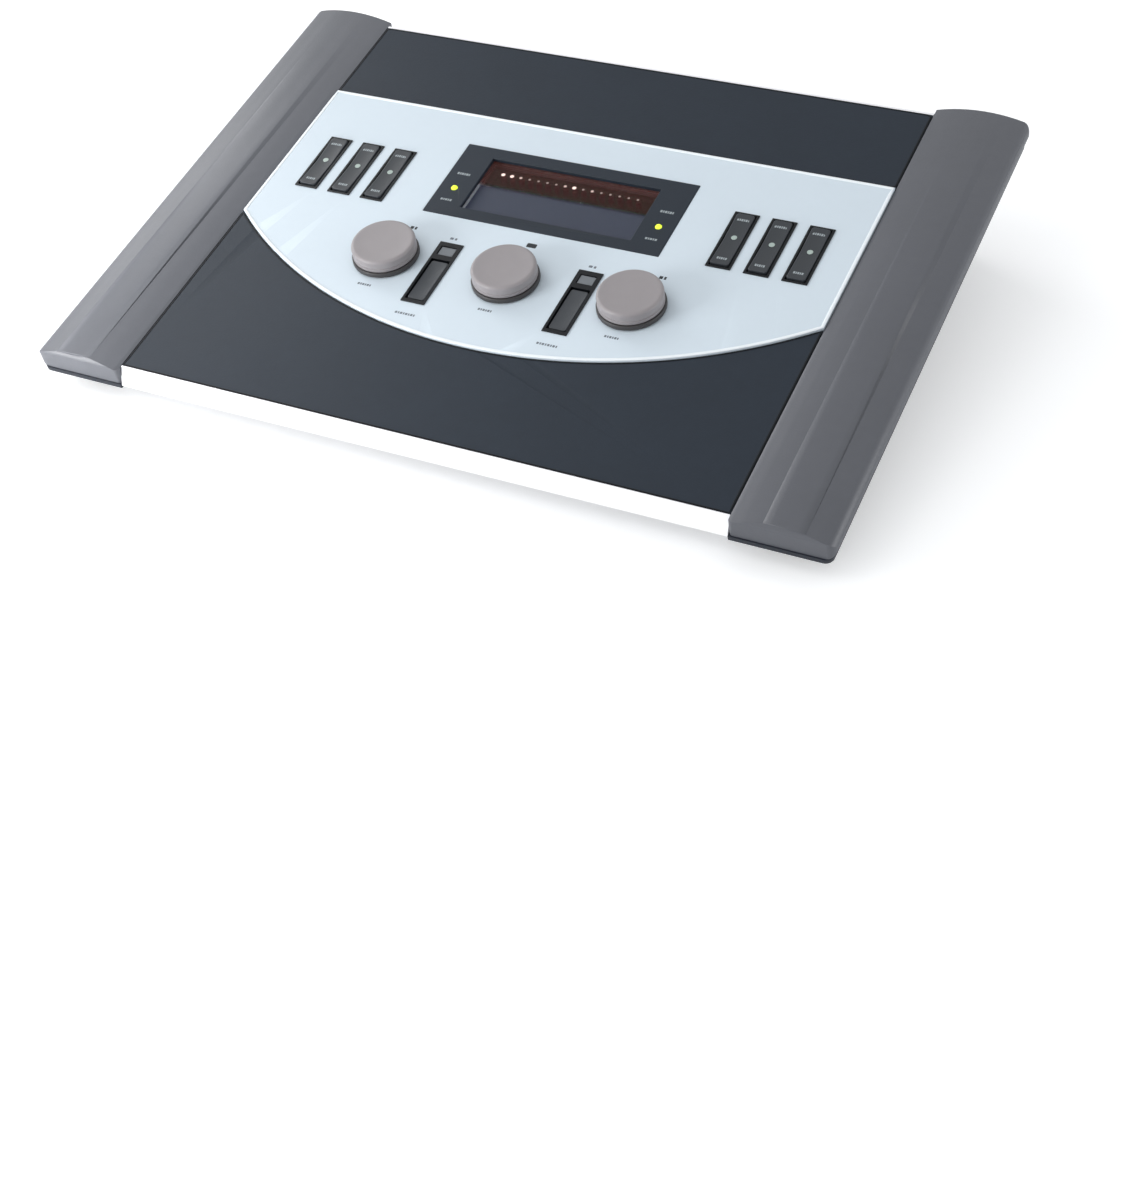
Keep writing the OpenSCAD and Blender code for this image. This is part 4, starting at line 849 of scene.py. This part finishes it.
class AUDIOMETER_OT_display(bpy.types.Operator):
    """Finishes the bezel and the display, and sets the level dots and lamps"""

    bl_idname = "audiometer.display"
    bl_label = "Display"

    CELL_SHADE = 0.82  # of the ground's colour
    # Level dots by look: name, places in the row, radius in mm and share of the full light
    DOTS = (("bright", (0, 1, 8), 0.95, 1.0), ("mid", (2, 7, 10), 0.7, 0.4))
    DIM = 0.55  # radius in mm of the unlit ones
    UNLIT = 0.45  # share of its colour that an unlit one has

    def execute(self, context):
        controls = context.scene.audiometer_controls
        bezel = plastic("bezel_dark", controls.bezel, 0.42, 1500, 0.05, 0.2, Specular_IOR_Level=0.3)
        dress(["display_bezel"], bezel, 0.3, 3)
        dress(["display_window"], pane("window_clear", shade("ccd2de"), 0.06))
        # The red filter gives off a faint glow of its own, 2a120f: painted light that keeps the strip dark red
        # under the glass.
        dress(["level_filter"], pane("filter_red", controls.filter, 0.1, shade("2a120f")))
        lines = tuple(self.CELL_SHADE * value for value in controls.screen)
        # The screen gives off a faint light of its own, 242936 at strength 1: painted light that brightens the
        # unlit screen under the glass.
        cells = finish("lcd_slate", "cells", controls.screen, {"Trace": lines}, 0.02, Emission_Strength=1.0)
        shader_of(cells).inputs["Emission Color"].default_value = (*shade("242936"), 1)
        dress(["lcd_glass"], cells)
        dress(["display_board"], finish("display_board_green", "circuit", "14402a", {}))
        dress(["level_leds"], plastic("level_led_milk", "6b4a46", 0.3, mottle=0.02, bump=0.02), 0.2)
        self.level_dots(controls)
        dress(["indicator_leds"], ink("lamp_lime", controls.lamp, controls.lamp_glow))
        return {"FINISHED"}

    def level_dots(self, controls):
        """Pale dots on the red filter, over its row of lamps: a few bright ones among small dim ones."""
        low, high = slab_box("level_leds")
        count = len(set(np.round(slab_points("level_leds")[:, 0], 5))) // 2
        places = np.linspace(low[0] + 1 * MM, high[0] - 1 * MM, count)
        v, w = (low[1] + high[1]) / 2, slab_box("level_filter")[1][2]
        chosen = [index for _, indices, _, _ in self.DOTS for index in indices]
        dim = ("dim", [index for index in range(count) if index not in chosen], self.DIM, 0.0)
        for name, indices, radius, share in (*self.DOTS, dim):
            colour = tuple(value * (self.UNLIT + (1 - self.UNLIT) * share) for value in controls.dot)
            disc = [(radius, 0), (radius, 0.05), (radius * 0.8, 0.09)]
            forms = [turned(disc, on_slab([places[index], v, w]), count=24) for index in indices]
            look = ink(f"dot_{name}", colour, controls.dot_glow * share)
            piece(f"level_dots_{name}", forms, look, "case")


class AUDIOMETER_OT_bars(bpy.types.Operator):
    """Makes the long dished bars, and finishes the small keys behind them"""

    bl_idname = "audiometer.bars"
    bl_label = "Bars and small keys"

    def execute(self, context):
        controls = context.scene.audiometer_controls
        bar = plastic("bar_grey", controls.bar, 0.42, 1500, 0.08, 0.25)
        small = plastic("small_key_grey", controls.small_key, 0.45, 1500, 0.06, 0.25)
        for side in ("left", "right"):
            low, high = slab_box(f"{side}_tone_bar")
            pivot = joint_place(f"{side}_bar_press")
            width, depth = high[0] - low[0] - 2.8 * MM, high[1] - low[1]
            middle = (pivot[0], (low[1] + high[1]) / 2, 0)
            face = self.face(width, depth, high[2])
            key = key_form(middle, width, depth, 0.8 * MM, -1.4 * MM, 0.35 * MM, face)
            plunger = pivot[1] + 6 * MM - depth
            forms = [key, *hub(low, high, pivot, width, [plunger])]
            piece(f"{side}_bar", forms, bar, f"{side}_bar_key", [f"{side}_tone_bar"])
            dress([f"{side}_mode_key"], small, 0.3, 3)
        return {"FINISHED"}

    @staticmethod
    def face(width, depth, top):
        """Bar face: top less a cross dish (1 - (2x / width)^2), which fades out at both ends."""
        deep = 0.25 * MM

        def height(x, y):
            dish = 1 - np.clip(2 * x / width, -1, 1) ** 2
            return top - deep * dish * np.clip(1 - (2 * y / depth) ** 8, 0, 1)

        return height


class AUDIOMETER_OT_marks(bpy.types.Operator):
    """Prints plain marks and numbers on the fascia, the bezel and the rear panel"""

    bl_idname = "audiometer.marks"
    bl_label = "Marks"

    def execute(self, context):
        controls = context.scene.audiometer_controls
        black = ink("black_print", shade("1d2228"))
        fascia = slab_box("control_fascia")[1][2]
        bezel = slab_box("display_bezel")[1][2]
        sides = ("left", "center", "right")
        left, center, right = [(*joint_place(f"{side}_knob_turn")[:2], fascia) for side in sides]
        slot_low, slot_high = slab_box("slot_bezels")
        soft = []
        for knob in (left, center, right):
            soft += strokes(knob, -1, -19.3, 6.4, 1.2, 6)
        for side in ("left", "right"):
            u = joint_place(f"{side}_bar_press")[0]
            soft += strokes((u, slot_low[1], fascia), 0, -6.9, 9.4, 1.2, 8)
            soft += strokes((u, slot_high[1], fascia), -1, 3.2, 3.4, 1.3, 2)
        piece("fascia_marks", soft, ink("grey_print", controls.mark), "case")
        strong = [self.plate(np.array(center) + np.array([1.1, 23.6, 0]) * MM, 4.6 * MM, 2.6 * MM)]
        strong += strokes(left, 3.2, 20.2, 3.2, 1.7, 2)
        strong += strokes(right, 5.6, 20.2, 3.2, 1.7, 2)
        piece("fascia_dark_marks", strong, black, "case")
        lamp_low, lamp_high = slab_box("indicator_leds")
        lamp_u, lamp_v = lamp_high[0] - 1.5 * MM, (lamp_low[1] + lamp_high[1]) / 2
        light = []
        for u in (-lamp_u, lamp_u):
            light += strokes((u, lamp_v, bezel), 0, 9.8, 6.2, 1.4, 6)
            light += strokes((u, lamp_v, bezel), 0, -8.4, 5.4, 1.2, 5)
        piece("bezel_marks", light, ink("bezel_print", controls.pale_mark), "case")
        self.rear_numbers(black)
        return {"FINISHED"}

    @staticmethod
    def plate(place, width, depth, thick=0.05 * MM, count=48):
        """A thin rounded mark on the fascia."""
        ring = outline(width, depth, 0.5 * MM, count)
        points, faces = stack([np.c_[ring, np.full(count, level)] for level in (0.0, thick)])
        return on_slab(points + place), faces

    @staticmethod
    def rear_numbers(black):
        """Plain numbers over the jack sockets, read from behind."""
        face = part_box("rear_panel")[1].y
        axes = np.array([[-1.0, 0, 0], [0, 0, 1.0], [0, 1.0, 0]])
        mounts = [mount for mount in frame["record"]["mounts"] if mount["name"].startswith("jack_")]
        forms = []
        for count, mount in enumerate(sorted(mounts, key=lambda m: -m["pos_m"][0]), 1):
            x, _, z = mount["pos_m"]
            forms.append(number_form(str(count), 3 * MM, axes, (x, face + PRINT, z + 11.5 * MM)))
        piece("rear_numbers", forms, black, "case")


class AUDIOMETER_OT_rear(bpy.types.Operator):
    """Finishes the rear sockets, the inlet, the power switch and the feet"""

    bl_idname = "audiometer.rear"
    bl_label = "Rear and underside"

    FOOT_RADIUS = 8  # mm

    def execute(self, context):
        black = plastic("socket_black", "17191c", 0.4, 1500, 0.04, 0.15)
        dress(["jack_sockets", "mains_inlet", "power_switch_body"], black, 0.25)
        dress(["power_rocker"], plastic("power_key_black", "24262a", 0.35, 1500, 0.04, 0.1), 0.3)
        dress(["jack_nuts"], metal("jack_nut_steel", "b9bdc2", 0.28), 0.2)
        dress(["data_port"], metal("port_plate", "a8acb1", 0.35), 0.2)
        dress(["inlet_blades"], metal("blade_brass", "cdb064", 0.3), 0.15)
        dress(["case_screws", "board_screws"], metal("screw_steel", "aeb2b7", 0.32), 0.15)
        rubber = plastic("foot_rubber", "1c1d1f", 0.75, 900, 0.05, 0.5)
        low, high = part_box("rubber_feet")
        inset = self.FOOT_RADIUS * MM
        places = [(x, y, 0) for x in (low.x + inset, high.x - inset) for y in (low.y + inset, high.y - inset)]
        profile = self.foot(self.FOOT_RADIUS, high.z / MM)
        forms = [turned(profile, place, np.eye(3), 48) for place in places]
        piece("feet", forms, rubber, "case", ["rubber_feet"])
        return {"FINISHED"}

    @staticmethod
    def foot(radius, top):
        """Profile in mm of a rubber foot: two shallow rings in the sole, a rounded edge and the wall."""
        deep, bend = 0.35, 0.6
        flat = radius - 0.9
        return [
            (0, deep), (radius * 0.3, deep), (radius * 0.36, 0), (radius * 0.52, 0), (radius * 0.58, deep),
            (radius * 0.68, deep), (radius * 0.74, 0), (flat, 0), *arc((flat, bend), bend, -90, 0, 5)[1:],
            (radius, top), (0, top),
        ]


class AUDIOMETER_OT_electronics(bpy.types.Operator):
    """Finishes the boards, the power supply and the wiring inside"""

    bl_idname = "audiometer.electronics"
    bl_label = "Electronics"

    def execute(self, context):
        board = finish("board_green", "circuit", "1b5a37", {"Trace": shade("3d8a58")})
        dress(["control_board", "main_board", "power_board"], board)
        dress(["push_switches", "board_connectors"], plastic("part_black", "232529", 0.5), 0.15)
        dress(["main_board_chips"], plastic("chip_black", "191a1c", 0.55), 0.1)
        dress(["board_leds"], plastic("led_milk", "e9f0da", 0.3, bump=0.02))
        dress(["ribbon_cable"], plastic("ribbon_grey", "9da1a8", 0.5, 1200, 0.05, 0.2))
        dress(["transformer"], plastic("winding_tape", "b08a4a", 0.45, 600, 0.15, 0.3), 0.3)
        dress(["power_capacitors"], plastic("can_sleeve", "2b3a5c", 0.3, 800, 0.05, 0.05), 0.4)
        dress(["heat_sink"], metal("sink_black", "6a6e75", 0.4), 0.15)
        dress(["mains_wires"], plastic("wire_brown", "7d4c2c", 0.45, 900, 0.05, 0.1))
        return {"FINISHED"}


class AUDIOMETER_PT_panel(bpy.types.Panel):
    """The audiometer's settings and steps"""

    bl_label = "Audiometer"
    bl_space_type = "VIEW_3D"
    bl_region_type = "UI"
    bl_category = "Audiometer"

    def draw(self, context):
        for settings in SETTINGS:
            group = getattr(context.scene, settings)
            box = self.layout.box()
            for name in group.bl_rna.properties.keys():
                if name not in ("rna_type", "name"):
                    box.prop(group, name)
        for operator in OPERATORS:
            self.layout.operator(operator.bl_idname)


SETTINGS = {
    "audiometer_case": AudiometerCase,
    "audiometer_controls": AudiometerControls,
    "audiometer_studio": AudiometerStudio,
}
OPERATORS = (
    AUDIOMETER_OT_studio, AUDIOMETER_OT_case, AUDIOMETER_OT_edges, AUDIOMETER_OT_knobs, AUDIOMETER_OT_rockers,
    AUDIOMETER_OT_display, AUDIOMETER_OT_bars, AUDIOMETER_OT_marks, AUDIOMETER_OT_rear,
    AUDIOMETER_OT_electronics,
)


def register():
    for settings in SETTINGS.values():
        bpy.utils.register_class(settings)
    for operator in (*OPERATORS, AUDIOMETER_PT_panel):
        bpy.utils.register_class(operator)
    for name, settings in SETTINGS.items():
        setattr(bpy.types.Scene, name, PointerProperty(type=settings))


def unregister():
    for name in SETTINGS:
        delattr(bpy.types.Scene, name)
    for made in (*OPERATORS, AUDIOMETER_PT_panel, *SETTINGS.values()):
        bpy.utils.unregister_class(made)


def main():
    """Registers the add-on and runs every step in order."""
    register()
    for operator in OPERATORS:
        group, step = operator.bl_idname.split(".")
        getattr(getattr(bpy.ops, group), step)()


if __name__ == "__main__":
    main()
